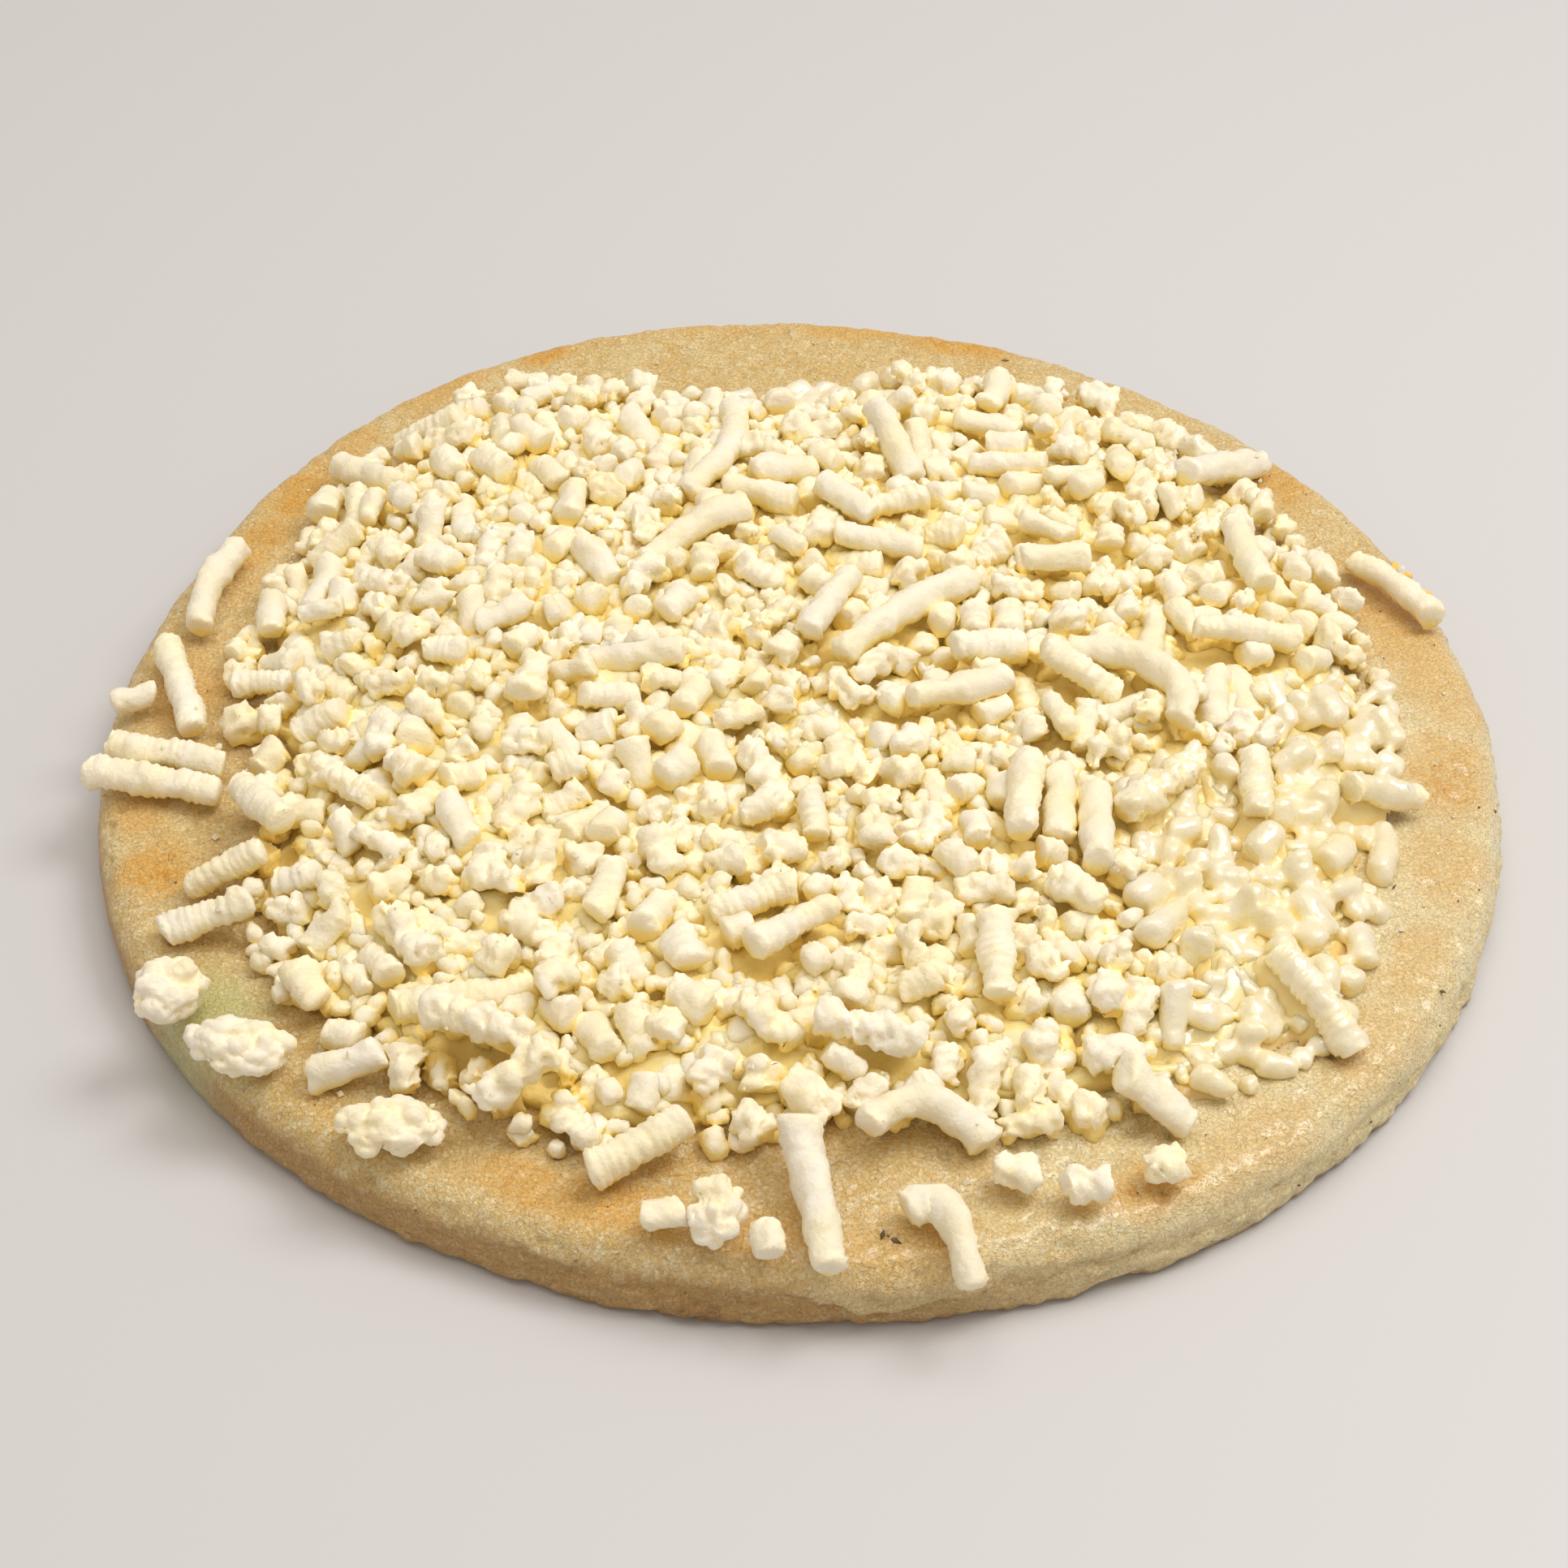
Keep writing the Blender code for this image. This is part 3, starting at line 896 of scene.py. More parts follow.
def build_shreds(heap, material):
    """Two thin yellow shreds that stick out over the right rim."""
    batch = Batch("shred")
    for x, y, heading, length in ((76.5, 29.5, 35, 5.0), (78.5, 27.6, -10, 4.0), (76.0, 31.5, 70, 3.0)):
        axis = lay(heap["ground"], x, y, math.radians(heading), length, 0.5, 0.5)
        batch.add(*tube(axis, 0.5, LOOKS["shred"]), 0.5)
    points, _, triangles, _ = batch.joined()
    make_object("yellow_shreds", points, triangles, material, "cheese")


KIND_NAMES = {
    "smooth": "smooth_nubs",
    "torn": "crumbly_nubs",
    "ridged": "ridged_strands",
    "scrap": "small_scraps",
}
CRUMBS_ON_CHEESE = {"torn": 500, "ridged": 0, "smooth": 0, "scrap": 300}
CRUMBS_ON_CAKE = 110


def crumb_shapes(places, sizes, stretch=None):
    """Tiny uneven grains: one rough eight-sided one for each place."""
    corners = np.array([(1, 0, 0), (0, 1, 0), (-1, 0, 0), (0, -1, 0), (0, 0, 1), (0, 0, -1)], float)
    faces = np.array([(0, 1, 4), (1, 2, 4), (2, 3, 4), (3, 0, 4), (1, 0, 5), (2, 1, 5), (3, 2, 5), (0, 3, 5)])
    if stretch is None:
        stretch = rng.uniform(0.65, 1.25, (len(places), 3))
    rough = rng.uniform(0.7, 1.2, (len(places), len(corners), 1))
    turn = rng.uniform(0, 2 * math.pi, len(places))
    shape = corners[None] * rough * stretch[:, None, :] * sizes[:, None, None]
    c, s = np.cos(turn)[:, None], np.sin(turn)[:, None]
    x = shape[:, :, 0] * c - shape[:, :, 1] * s
    y = shape[:, :, 0] * s + shape[:, :, 1] * c
    points = np.stack([x, y, shape[:, :, 2]], axis=2) + places[:, None, :]
    index = faces[None] + (np.arange(len(places)) * len(corners))[:, None, None]
    return points.reshape(-1, 3), index.reshape(-1, 3)


def build_crumbs(heap, batches, material):
    """Crumbs that cling to the pieces, and a few loose ones on the bare rim."""
    places, facings, sizes = [], [], []
    for kind, amount in CRUMBS_ON_CHEESE.items():
        points, outward, _, _ = batches[kind].joined()
        shown = np.flatnonzero(outward[:, 2] > -0.2)
        chosen = rng.choice(shown, amount, replace=False)
        size = 0.2 + 0.3 * rng.random(amount) ** 2
        places.append(points[chosen] - outward[chosen] * (0.2 * size)[:, None])
        facings.append(outward[chosen])
        sizes.append(size)
    angle = rng.uniform(0, 2 * math.pi, CRUMBS_ON_CAKE)
    away = rng.uniform(62, 81, CRUMBS_ON_CAKE)
    flat = np.column_stack([away * np.cos(angle), away * np.sin(angle)])
    size = 0.2 + 0.4 * rng.random(CRUMBS_ON_CAKE) ** 2
    places.append(np.column_stack([flat, heap["ground"][cell_of(flat)] + 0.4 * size]))
    facings.append(np.tile((0.0, 0.0, 1.0), (CRUMBS_ON_CAKE, 1)))
    sizes.append(size)
    points, triangles = crumb_shapes(np.vstack(places), np.concatenate(sizes))
    facing = np.repeat(np.vstack(facings), len(points) // len(np.vstack(places)), axis=0)
    make_object("crumbs", points, triangles, material, "cheese", flat=True,
                depth=depth_of(points, facing, heap["envelope"]), melt=0.5 * melt_at(points[:, :2]),
                tint=np.full(len(points), 0.2))


def build_cheese(material, crumb_material):
    heap = build_heap()
    heap["material"] = material
    heap["envelope"] = blurred(heap["ground"], 1.5)
    build_melted(heap)
    build_core(heap)
    build_strands(heap)
    build_lumps(heap)
    batches = {}
    for kind, name in KIND_NAMES.items():
        batches[kind] = Batch(kind)
        for axis, radius in heap["laid"][kind]:
            add_tube(batches[kind], axis, radius)
        cheese_object(name, batches[kind], heap)
    build_crumbs(heap, batches, crumb_material)
    heap["skin"] = heap["cake"]
    return heap


# ---------------------------------------------------------------- the cake

CAKE_SEGMENTS = 1100
CAKE_WAVES = 9
CORNER_IN, CORNER_DOWN = 3.3, 3.9
LIP_IN, LIP_UP = 1.5, 1.3
ROUGH_SIDE = math.radians(40)
# Turn of the side of the cake that is painted paler, as painted light.
LIT_SIDE_TURN = math.radians(32)
# Where the skin hangs over the wall, and where the wall is cracked: middle angle, half width (degrees), height.
FLAP = (276, 8, 5.6)
CRACKS = ((291, 6, 4.6), (307, 3, 5.4), (318, 3, 3.4))

# Golden patches where the griddle caught the cake: angle, half width (degrees), inset, half depth (mm), strength.
GOLDEN = (
    (156, 5, 6, 3, 0.8), (148, 4, 5, 3, 0.9), (140, 4, 4, 3, 0.6), (127, 5, 3, 2.5, 0.6), (116, 3, 3, 2.5, 1.0),
    (97, 8, 3, 2, 0.35), (85, 7, 3, 2.5, 0.7), (75, 6, 3, 3, 1.0), (38, 4, 5, 3.5, 0.9), (15, 8, 7, 5, 0.7),
    (5, 7, 5, 5, 0.6), (353, 7, 6.5, 5, 0.8), (341, 6, 6, 4, 0.6), (330, 6, 5, 3.5, 0.6), (319, 7, 4, 4, 0.5),
    (306, 7, 4, 4, 0.5), (296, 5, 4.5, 3, 0.9), (277, 7, 4, 3, 0.4), (265, 6, 5, 3, 0.6), (256, 7, 6, 3, 0.8),
    (249, 5, 6, 3, 0.8), (202, 3.5, 6, 4, 1.0), (195, 3, 5, 3, 0.6), (178, 5, 9, 5, 0.5),
)


def fitted_rim():
    """A function that gives the cake's rim radius at any angle: a few waves through the CAD rim."""
    places = np.array([v.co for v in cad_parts["corn_cake"].data.vertices]) / MM
    angle = np.arctan2(places[:, 1], places[:, 0])
    away = np.hypot(places[:, 0], places[:, 1])
    bins = np.round(angle / (2 * math.pi / 96)).astype(int) % 96
    outer = np.array([away[bins == k].max() for k in range(96)])
    at = np.arange(96) * 2 * math.pi / 96

    def waves(a):
        parts = [np.ones_like(a)]
        for k in range(1, CAKE_WAVES + 1):
            parts += [np.cos(k * a), np.sin(k * a)]
        return np.column_stack(parts)

    fit = np.linalg.lstsq(waves(at), outer, rcond=None)[0]
    return lambda a: waves(a) @ fit


def meridian(height):
    """The cake's section from the middle of its underside, round the rim, to the middle of its top.

    Each row is (inset from the rim, or None and a share of the way to the middle; height)."""
    rows = [(45.0, 0.0), (12.0, 0.0), (4.0, 0.0), (2.2, 0.0)]
    for a in np.linspace(0, math.pi / 2, 6):
        rows.append((LIP_IN * (1 - math.sin(a)), LIP_UP * (1 - math.cos(a))))
    shoulder = height - CORNER_DOWN
    for z in np.linspace(LIP_UP, shoulder, 13)[1:-1]:
        rows.append((-0.15 * math.sin(math.pi * (z - LIP_UP) / (shoulder - LIP_UP)), z))
    for a in np.linspace(0, math.pi / 2, 13):
        rows.append((CORNER_IN * (1 - math.cos(a)), shoulder + CORNER_DOWN * math.sin(a)))
    rows += [(inset, height) for inset in np.arange(3.8, 13.0, 0.5)]
    rows += [(inset, height) for inset in np.arange(13.0, 25.0, 0.85)]
    rows += [(inset, height) for inset in (32.0, 45.0, 60.0, 75.0)]
    return np.array(rows)


def build_cake(material):
    """The corn cake: its CAD form with a griddled, granular skin and a torn side."""
    angles = np.arange(CAKE_SEGMENTS) * 2 * math.pi / CAKE_SEGMENTS
    rim = fitted_rim()(angles)
    cad_top = blurred(np.where(heights_of("corn_cake", -1.0) < 7.0, 8.3, heights_of("corn_cake", 8.3)), 1.0)
    edge = np.column_stack([(rim - CORNER_IN - 0.5) * np.cos(angles), (rim - CORNER_IN - 0.5) * np.sin(angles)])
    height = float(cad_top[cell_of(edge)].mean())
    rows = meridian(height)
    count = len(rows)
    away = rim[None, :] - rows[:, 0][:, None]
    x, y = away * np.cos(angles), away * np.sin(angles)
    flat = np.stack([x, y], axis=2)
    level = np.repeat(rows[:, 1][:, None], CAKE_SEGMENTS, axis=1)
    on_top = (rows[:, 0] >= CORNER_IN) & (rows[:, 1] > 1.0)
    crown = cad_top[cell_of(flat)] - height
    blend = smooth_step((rows[:, 0] - CORNER_IN) / 4.0)[:, None]
    level = np.where(on_top[:, None], level + blend * crown, level)
    points = np.stack([x, y, level], axis=2)

    slope = np.gradient(rows, axis=0)
    out, up = slope[:, 1], slope[:, 0]
    size = np.maximum(np.hypot(out, up), 1e-9)
    out, up = np.maximum(out, 0.0) / size, up / size
    up = np.where(rows[:, 1] < 0.01, 0.0, up)
    out = np.where(rows[:, 1] < 0.01, 0.0, out)
    normal = np.stack([out[:, None] * np.cos(angles), out[:, None] * np.sin(angles),
                       np.repeat(up[:, None], CAKE_SEGMENTS, axis=1)], axis=2)

    spots = points.reshape(-1, 3)
    z = spots[:, 2]
    wall = smooth_step((height - 1.2 - z) / 2.5)
    stretched = spots * (1.0, 1.0, 1.8)
    around = np.arctan2(spots[:, 1], spots[:, 0])
    rough = 0.35 + 0.65 * smooth_step(0.5 + 0.9 * np.cos(around + ROUGH_SIDE))
    relief = (1 - wall) * (0.24 * noise(spots, 7.0, 21) + 0.16 * noise(spots, 2.6, 22)
                           + 0.25 * (knobs(spots, 1.5, 23) - 0.7) + 0.08 * noise(spots, 0.9, 29))
    relief += wall * rough * (0.42 * noise(stretched, 5.0, 24) + 0.36 * (knobs(stretched, 2.3, 25) - 0.7)
                              + 0.22 * noise(stretched, 1.2, 26))
    pits = np.maximum(0.0, noise(spots, 1.7, 27) - 0.5) * 1.5
    relief -= pits * (1 - 0.5 * wall)
    torn_edge = height - 3.2 + 1.5 * noise(stretched * (1, 1, 0), 6.0, 28)
    skin = smooth_step((z - torn_edge) / 0.35) * smooth_step(noise(spots * (1, 1, 0), 14.0, 30) * 2.0 + 0.45)
    relief += 0.32 * skin * wall * rough
    degrees = np.degrees(around) % 360
    off = np.abs(degrees - FLAP[0]) / FLAP[1]
    ragged = FLAP[2] - 3.2 * np.maximum(0.0, 1.0 - off) + 0.9 * noise(spots * (1, 1, 0), 1.5, 37)
    flap = smooth_step((z - ragged) / 0.3) * smooth_step(2.5 * (1.0 - off)) * wall
    relief += 0.5 * flap
    for at, half_width, level_at in CRACKS:
        line = level_at + 0.9 * noise(spots * (1, 1, 0), 1.8, 38)
        near = np.exp(-((z - line) / 0.28) ** 2) * smooth_step(2.0 * (1.0 - np.abs(degrees - at) / half_width))
        relief -= 0.35 * near
    lip = smooth_step((2.2 - z) / 2.0) * (z > 0.01)
    relief += lip * (0.30 * noise(spots, 7.0, 31) + 0.16 * noise(spots, 2.4, 32))
    spots = spots + normal.reshape(-1, 3) * relief[:, None]
    spots[:, 2] = np.maximum(spots[:, 2], 0.0)

    inset = np.repeat(rows[:, 0][:, None], CAKE_SEGMENTS, axis=1).ravel()
    wander = np.column_stack([spots[:, :2], np.zeros(len(spots))])
    gold = np.zeros(len(spots))
    for at, half_width, deep, half_depth, strength in GOLDEN:
        turn = (degrees - at + 180) % 360 - 180
        away = np.hypot(turn / half_width, (inset - deep) / half_depth)
        gold = np.maximum(gold, strength * smooth_step(1.5 - away + 0.35 * noise(wander, 3.0, 33)))
    gold *= 1 - wall
    edge = smooth_step((1.3 - z) / 0.7) * (z > 0.01)
    toast = edge * (0.35 + 0.65 * smooth_step(1.5 * np.cos(around + ROUGH_SIDE) - 0.2 + 0.8 * noise(wander, 4.0, 34)))
    spot_turn = (degrees - 263.6 + 180) % 360 - 180
    toast = np.maximum(toast, smooth_step(1.4 - np.hypot(spot_turn / 2.2, (z - 1.6) / 1.8)) * wall)
    oil = smooth_step(0.75 * np.cos(np.radians(degrees + 35)) + 0.35 + 0.5 * noise(wander, 9.0, 35)) * (1 - wall)
    green_turn = (degrees - 219 + 180) % 360 - 180
    green = smooth_step(1.5 - np.hypot(green_turn / 5.0, (inset - 3.5) / 5.5) + 0.3 * noise(wander, 2.5, 36))

    low = [[0.0, 0.0, 0.0], [0.0, 0.0, float(cad_top[cell_of([0, 0])])]]
    points = np.vstack([spots, low])
    # painted light: the front-right side of the top and wall is painted paler, as if lit; the hanging flap is paler
    # in its own right
    pale = np.maximum(smooth_step((np.cos(around + LIT_SIDE_TURN) - 0.55) / 0.4), 0.55 * flap)
    fields = dict(gold=gold, toast=toast, oil=oil, green=green, wall=wall, pale=pale)
    fields = {name: np.concatenate([values, [0.0, 0.0]]) for name, values in fields.items()}
    make_object("griddled_cake", points, tube_triangles(count, CAKE_SEGMENTS), material, "crust",
                ("corn_cake",), **fields)


# ---------------------------------------------------------------- materials

def add_node(tree, kind, settings=None, **inputs):
    """A new node. Inputs are plain values or the sockets that feed them; _ stands for a space."""
    new = tree.nodes.new(kind)
    for name, value in (settings or {}).items():
        setattr(new, name, value)
    for name, value in inputs.items():
        key = int(name[2:]) if name.startswith("in") and name[2:].isdigit() else name.replace("_", " ")
        if isinstance(value, bpy.types.NodeSocket):
            tree.links.new(value, new.inputs[key])
        else:
            new.inputs[key].default_value = value
    return new


def new_material(name):
    material = bpy.data.materials.new(name)
    material.use_nodes = True
    tree = material.node_tree
    tree.nodes.clear()
    return material, tree


def field(tree, name):
    return add_node(tree, "ShaderNodeAttribute", dict(attribute_name=name)).outputs["Fac"]


def math_node(tree, operation, first, second=0.5, clamp=False):
    return add_node(tree, "ShaderNodeMath", dict(operation=operation, use_clamp=clamp),
                    in0=first, in1=second).outputs[0]


def mix_colour(tree, share, first, second, blend="MIX"):
    made = tree.nodes.new("ShaderNodeMix")
    made.data_type = "RGBA"
    made.blend_type = blend
    for socket, value in zip((made.inputs[0], made.inputs[6], made.inputs[7]), (share, first, second)):
        if isinstance(value, bpy.types.NodeSocket):
            tree.links.new(value, socket)
        else:
            socket.default_value = value
    return made.outputs[2]


def grain(tree, where, size, detail=2.0, roughness=0.5, distortion=0.0):
    """Noise with features about size mm apart."""
    return add_node(tree, "ShaderNodeTexNoise", dict(noise_dimensions="3D"), Vector=where,
                    Scale=1.0 / (size * MM), Detail=detail, Roughness=roughness, Distortion=distortion).outputs["Fac"]


def spread(tree, value, low, high, to_low=0.0, to_high=1.0):
    return add_node(tree, "ShaderNodeMapRange", None, Value=value, From_Min=low, From_Max=high,
                    To_Min=to_low, To_Max=to_high).outputs[0]


def rgb(r, g, b):
    return (r, g, b, 1.0)


PALE = rgb(0.975, 0.93, 0.82)
IVORY = rgb(0.97, 0.90, 0.73)
SOFT_YELLOW = rgb(0.975, 0.84, 0.41)
# the deep yellow of the painted shade in crevices and on undersides
CREVICE_SHADE_YELLOW = rgb(0.985, 0.78, 0.28)
WARM = rgb(0.90, 0.79, 0.46)


def cheese_material(name, softness):
    """Fresh white cheese: ivory and finely granular, with painted shade that turns the crevices and undersides
    yellower, glossy where it melts.
    """
    material, tree = new_material(name)
    where = add_node(tree, "ShaderNodeTexCoord").outputs["Object"]
    depth, melt, tint = field(tree, "depth"), field(tree, "melt"), field(tree, "tint")
    fine = grain(tree, where, 0.42, 3.0, 0.6)
    coarse = grain(tree, where, 1.6, 2.0)
    broad = grain(tree, where, 9.0, 2.0)
    colour = mix_colour(tree, spread(tree, tint, 0.0, 1.0, 0.1, 0.9), PALE, IVORY)
    colour = mix_colour(tree, spread(tree, broad, 0.4, 0.65, 0.0, 0.35), colour, SOFT_YELLOW)
    colour = mix_colour(tree, spread(tree, coarse, 0.45, 0.7, 0.0, 0.18), colour, SOFT_YELLOW)
    # painted shade: where little light reaches, in crevices and on undersides, the colour is painted yellow, then
    # deep yellow
    colour = mix_colour(tree, spread(tree, depth, 0.05, 0.6), colour, SOFT_YELLOW)
    colour = mix_colour(tree, spread(tree, depth, 0.45, 1.0), colour, CREVICE_SHADE_YELLOW)
    colour = mix_colour(tree, spread(tree, melt, 0.3, 0.9, 0.0, 0.35), colour, WARM)

    bumpy = spread(tree, melt, 0.2, 0.9, 1.0, 0.6)
    first = add_node(tree, "ShaderNodeBump", None, Strength=math_node(tree, "MULTIPLY", bumpy, 0.5),
                     Distance=0.0004, Height=grain(tree, where, 0.8, 2.0)).outputs["Normal"]
    second = add_node(tree, "ShaderNodeBump", None, Strength=math_node(tree, "MULTIPLY", bumpy, 0.5),
                      Distance=0.00025, Height=fine, Normal=first).outputs["Normal"]
    rough = math_node(tree, "ADD", spread(tree, fine, 0.3, 0.7, 0.5, 0.68),
                      math_node(tree, "MULTIPLY", melt, -0.28))
    wet = spread(tree, grain(tree, where, 5.0, 2.0), 0.40, 0.58, 0.4, 1.0)
    coat = math_node(tree, "MULTIPLY", spread(tree, melt, 0.25, 0.6), wet, clamp=True)
    shader = add_node(
        tree, "ShaderNodeBsdfPrincipled", dict(subsurface_method="BURLEY"),
        Base_Color=colour, Roughness=rough, Subsurface_Weight=spread(tree, melt, 0.4, 0.9, softness, 1.0), Subsurface_Radius=(1.0, 0.8, 0.4),
        Subsurface_Scale=0.0013, Normal=second, Coat_Weight=coat, Coat_Roughness=0.06, Coat_IOR=2.0, IOR=1.42)
    out = add_node(tree, "ShaderNodeOutputMaterial")
    tree.links.new(shader.outputs[0], out.inputs["Surface"])
    return material


GOLDEN_DOUGH = rgb(0.83, 0.56, 0.20)
CREAM_DOUGH = rgb(1.0, 0.85, 0.49)
GRAIN_LIGHT = rgb(1.0, 0.91, 0.60)
GRAIN_DARK = rgb(0.72, 0.47, 0.17)
GOLD = rgb(0.90, 0.49, 0.09)
DEEP_GOLD = rgb(0.74, 0.32, 0.04)
TOASTED = rgb(0.34, 0.17, 0.06)
GREENISH = rgb(0.66, 0.66, 0.27)
# Wall colours: the brown skin, darkened also as painted shade, and the torn dough, lightened also as painted light.
WALL_SKIN_AND_SHADE = rgb(0.60, 0.36, 0.13)
WALL_TORN_AND_LIT = rgb(1.0, 0.84, 0.47)


def crust_material():
    """Griddled corn dough: light gold and granular, with golden patches, an oily sheen, and one side painted paler as
    painted light.
    """
    material, tree = new_material("griddled_dough")
    where = add_node(tree, "ShaderNodeTexCoord").outputs["Object"]
    gold, toast, oil = field(tree, "gold"), field(tree, "toast"), field(tree, "oil")
    green, wall, pale = field(tree, "green"), field(tree, "wall"), field(tree, "pale")
    fine = grain(tree, where, 0.45, 3.0, 0.65, 0.8)
    middle = grain(tree, where, 1.4, 3.0, 0.6, 0.6)
    broad = grain(tree, where, 7.0, 2.0)
    # painted light: the top is painted creamier on the lit side, over its own broad creamy mottling
    cream_tone_and_lit_side = math_node(tree, "ADD", spread(tree, broad, 0.36, 0.62, 0.0, 0.35),
                      math_node(tree, "MULTIPLY", pale, 0.85), clamp=True)
    colour = mix_colour(tree, cream_tone_and_lit_side, GOLDEN_DOUGH, CREAM_DOUGH)
    # painted light and shade: the wall is painted lighter on the lit side and darker brown on the others; the flap is
    # lighter in its own right
    side = mix_colour(tree, pale, WALL_SKIN_AND_SHADE, WALL_TORN_AND_LIT)
    colour = mix_colour(tree, wall, colour, side)
    # light grains are full on the top and, on the wall, show where it is painted lit or the flap hangs
    open_grain = math_node(tree, "MAXIMUM", spread(tree, wall, 0.0, 1.0, 1.0, 0.35), pale)
    lit = math_node(tree, "MULTIPLY", spread(tree, middle, 0.52, 0.68, 0.0, 0.6), open_grain)
    colour = mix_colour(tree, lit, colour, GRAIN_LIGHT)
    colour = mix_colour(tree, spread(tree, middle, 0.46, 0.32, 0.0, 0.4), colour, GRAIN_DARK)
    lit = math_node(tree, "MULTIPLY", spread(tree, fine, 0.52, 0.62, 0.0, 0.6), open_grain)
    colour = mix_colour(tree, lit, colour, GRAIN_LIGHT)
    colour = mix_colour(tree, spread(tree, fine, 0.44, 0.32, 0.0, 0.45), colour, GRAIN_DARK)
    patch = math_node(tree, "MULTIPLY", gold, spread(tree, middle, 0.32, 0.6, 0.35, 1.0), clamp=True)
    colour = mix_colour(tree, math_node(tree, "MULTIPLY", patch, 0.95), colour, GOLD)
    deep = math_node(tree, "MULTIPLY", spread(tree, patch, 0.55, 1.0), spread(tree, fine, 0.4, 0.65), clamp=True)
    colour = mix_colour(tree, math_node(tree, "MULTIPLY", deep, 0.7), colour, DEEP_GOLD)
    burnt = math_node(tree, "MULTIPLY", toast, spread(tree, middle, 0.35, 0.6, 0.3, 0.85))
    colour = mix_colour(tree, burnt, colour, TOASTED)
    colour = mix_colour(tree, math_node(tree, "MULTIPLY", green, 0.75), colour, GREENISH)

    first = add_node(tree, "ShaderNodeBump", None, Strength=0.8, Distance=0.0005, Height=middle).outputs["Normal"]
    second = add_node(tree, "ShaderNodeBump", None, Strength=1.0, Distance=0.0005, Height=fine,
                      Normal=first).outputs["Normal"]
    glaze = add_node(tree, "ShaderNodeBump", None, Strength=0.5, Distance=0.0004, Height=middle).outputs["Normal"]
    rough = math_node(tree, "SUBTRACT", spread(tree, fine, 0.3, 0.7, 0.3, 0.55),
                      math_node(tree, "MULTIPLY", oil, 0.1))
    wet = math_node(tree, "MAXIMUM", oil, green)
    shiny = math_node(tree, "MULTIPLY", wet, spread(tree, middle, 0.35, 0.6, 0.3, 1.0), clamp=True)
    shader = add_node(
        tree, "ShaderNodeBsdfPrincipled", None, Base_Color=colour, Roughness=rough, Normal=second,
        Coat_Weight=shiny, Coat_Roughness=0.12, Coat_Normal=glaze, Coat_IOR=1.55, IOR=1.4)
    out = add_node(tree, "ShaderNodeOutputMaterial")
    tree.links.new(shader.outputs[0], out.inputs["Surface"])
    return material


def butter_material():
    """Melted butter: glossy and rippled, yellow where it is deep and golden brown where it is thin."""
    material, tree = new_material("melted_butter")
    where = add_node(tree, "ShaderNodeTexCoord").outputs["Object"]
    ripple = grain(tree, where, 1.8, 2.0)
    colour = mix_colour(tree, field(tree, "thin"), rgb(0.97, 0.76, 0.30), rgb(0.88, 0.64, 0.27))
    colour = mix_colour(tree, spread(tree, ripple, 0.45, 0.7, 0.0, 0.5), colour, rgb(0.99, 0.86, 0.52))
    bump = add_node(tree, "ShaderNodeBump", None, Strength=0.6, Distance=0.0005, Height=ripple).outputs["Normal"]
    rough = spread(tree, ripple, 0.3, 0.7, 0.08, 0.2)
    shader = add_node(tree, "ShaderNodeBsdfPrincipled", None, Base_Color=colour, Roughness=rough, Normal=bump,
                      Coat_Weight=1.0, Coat_Roughness=0.04, IOR=1.46)
    out = add_node(tree, "ShaderNodeOutputMaterial")
    tree.links.new(shader.outputs[0], out.inputs["Surface"])
    return material


def speck_material():
    """Burnt flecks: near black, a little green or brown."""
    material, tree = new_material("burnt_fleck")
    where = add_node(tree, "ShaderNodeTexCoord").outputs["Object"]
    patch = grain(tree, where, 2.0)
    colour = mix_colour(tree, spread(tree, patch, 0.4, 0.6), rgb(0.10, 0.06, 0.03), rgb(0.24, 0.16, 0.07))
    shader = add_node(tree, "ShaderNodeBsdfPrincipled", None, Base_Color=colour,
                      Roughness=spread(tree, patch, 0.3, 0.7, 0.5, 0.7))
    out = add_node(tree, "ShaderNodeOutputMaterial")
    tree.links.new(shader.outputs[0], out.inputs["Surface"])
    return material


def shred_material():
    """Orange-yellow shreds of a riper cheese, waxy."""
    material, tree = new_material("yellow_shred")
    where = add_node(tree, "ShaderNodeTexCoord").outputs["Object"]
    patch = grain(tree, where, 1.2)
    colour = mix_colour(tree, spread(tree, patch, 0.35, 0.65), rgb(0.96, 0.60, 0.10), rgb(0.98, 0.76, 0.26))
    shader = add_node(tree, "ShaderNodeBsdfPrincipled", None, Base_Color=colour,
                      Roughness=spread(tree, patch, 0.3, 0.7, 0.3, 0.45))
    out = add_node(tree, "ShaderNodeOutputMaterial")
    tree.links.new(shader.outputs[0], out.inputs["Surface"])
    return material


# ---------------------------------------------------------------- floor, light and camera

FLOOR_SIZE = 3.0
KEY_PLACE = (0.34, 0.075, 0.60)
KEY_SIZE = 0.34
KEY_POWER = 1.72
OVERHEAD_PLACE = (0.05, 0.05, 1.0)
OVERHEAD_SIZE = 0.9
OVERHEAD_POWER = 3.7
SKY = 0.48


def add_area_light(name, place, size, power, colour=(1.0, 1.0, 1.0)):
    light = bpy.data.lights.new(name, "AREA")
    light.shape = "DISK"
    light.size = size
    light.energy = power
    light.color = colour
    lamp = bpy.data.objects.new(name, light)
    lamp.location = place
    lamp.rotation_euler = (-Vector(place)).to_track_quat("-Z", "Y").to_euler()
    bpy.context.scene.collection.objects.link(lamp)


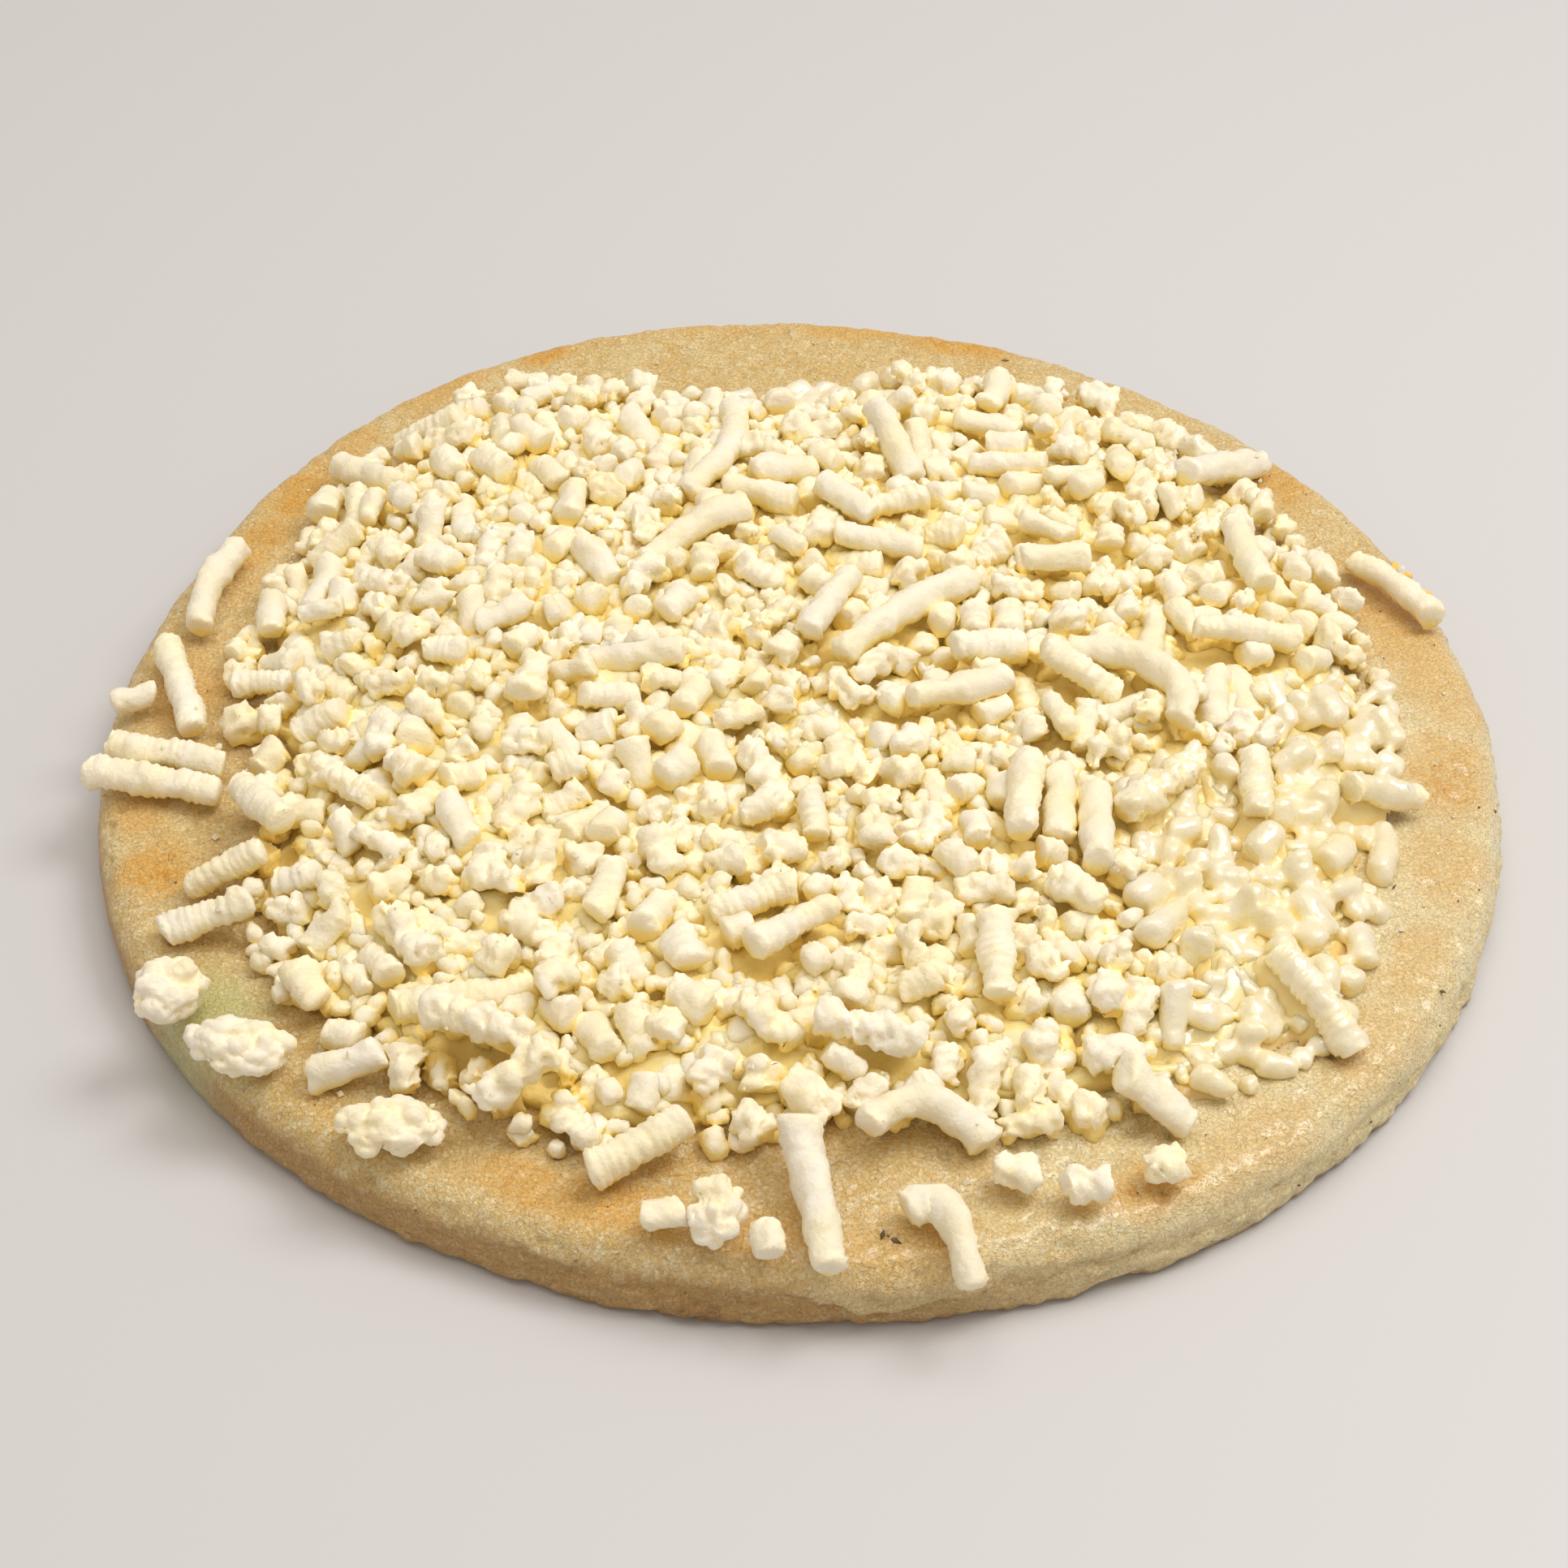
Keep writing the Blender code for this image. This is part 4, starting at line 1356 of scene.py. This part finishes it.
def build_stage():
    half = FLOOR_SIZE / 2
    mesh = bpy.data.meshes.new("floor")
    mesh.from_pydata([(-half, -half, 0), (half, -half, 0), (half, half, 0), (-half, half, 0)], [], [(0, 1, 2, 3)])
    material, tree = new_material("pale_floor")
    shader = add_node(tree, "ShaderNodeBsdfPrincipled", None, Base_Color=rgb(0.68, 0.68, 0.70), Roughness=0.45)
    out = add_node(tree, "ShaderNodeOutputMaterial")
    tree.links.new(shader.outputs[0], out.inputs["Surface"])
    mesh.materials.append(material)
    floor = bpy.data.objects.new("floor", mesh)
    bpy.context.scene.collection.objects.link(floor)
    floor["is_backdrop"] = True

    add_area_light("key", KEY_PLACE, KEY_SIZE, KEY_POWER, (1.0, 0.985, 0.96))
    add_area_light("overhead", OVERHEAD_PLACE, OVERHEAD_SIZE, OVERHEAD_POWER, (1.0, 0.97, 0.92))
    world = bpy.data.worlds.new("studio")
    world.use_nodes = True
    back = world.node_tree.nodes["Background"]
    back.inputs["Color"].default_value = rgb(1.0, 0.90, 0.78)
    back.inputs["Strength"].default_value = SKY
    bpy.context.scene.world = world
    bpy.context.scene.view_settings.view_transform = "Standard"


def build_camera():
    """Looks down on the part from the front, turned a little, as the view's constants say."""
    rise = math.radians(VIEW_ELEVATION)
    back = Vector((0, -math.cos(rise), math.sin(rise)))
    right = Vector((1, 0, 0))
    up = back.cross(right)
    roll = math.radians(VIEW_ROLL)
    across = math.cos(roll) * right + math.sin(roll) * up
    upward = math.cos(roll) * up - math.sin(roll) * right
    camera = bpy.data.objects.new("camera", bpy.data.cameras.new("camera"))
    camera.data.lens = LENS
    camera.data.sensor_width = SENSOR
    camera.data.clip_start = 0.01
    camera.data.clip_end = 10.0
    place = (Vector((*VIEW_TARGET, 0)) + back * VIEW_DISTANCE) * MM
    turn = Matrix((across, upward, back)).transposed().to_4x4()
    camera.matrix_world = Matrix.Translation(place) @ turn
    bpy.context.scene.collection.objects.link(camera)
    bpy.context.scene.camera = camera


build_camera()
build_cake(crust_material())
heap = build_cheese(cheese_material("fresh_cheese", 0.7), cheese_material("cheese_crumbs", 0.0))
build_butter(heap, butter_material())
build_specks(heap, speck_material())
build_shreds(heap, shred_material())
build_stage()

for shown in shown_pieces():
    if shown.type == "MESH":
        print("PIECE", shown.name, len(shown.data.polygons))
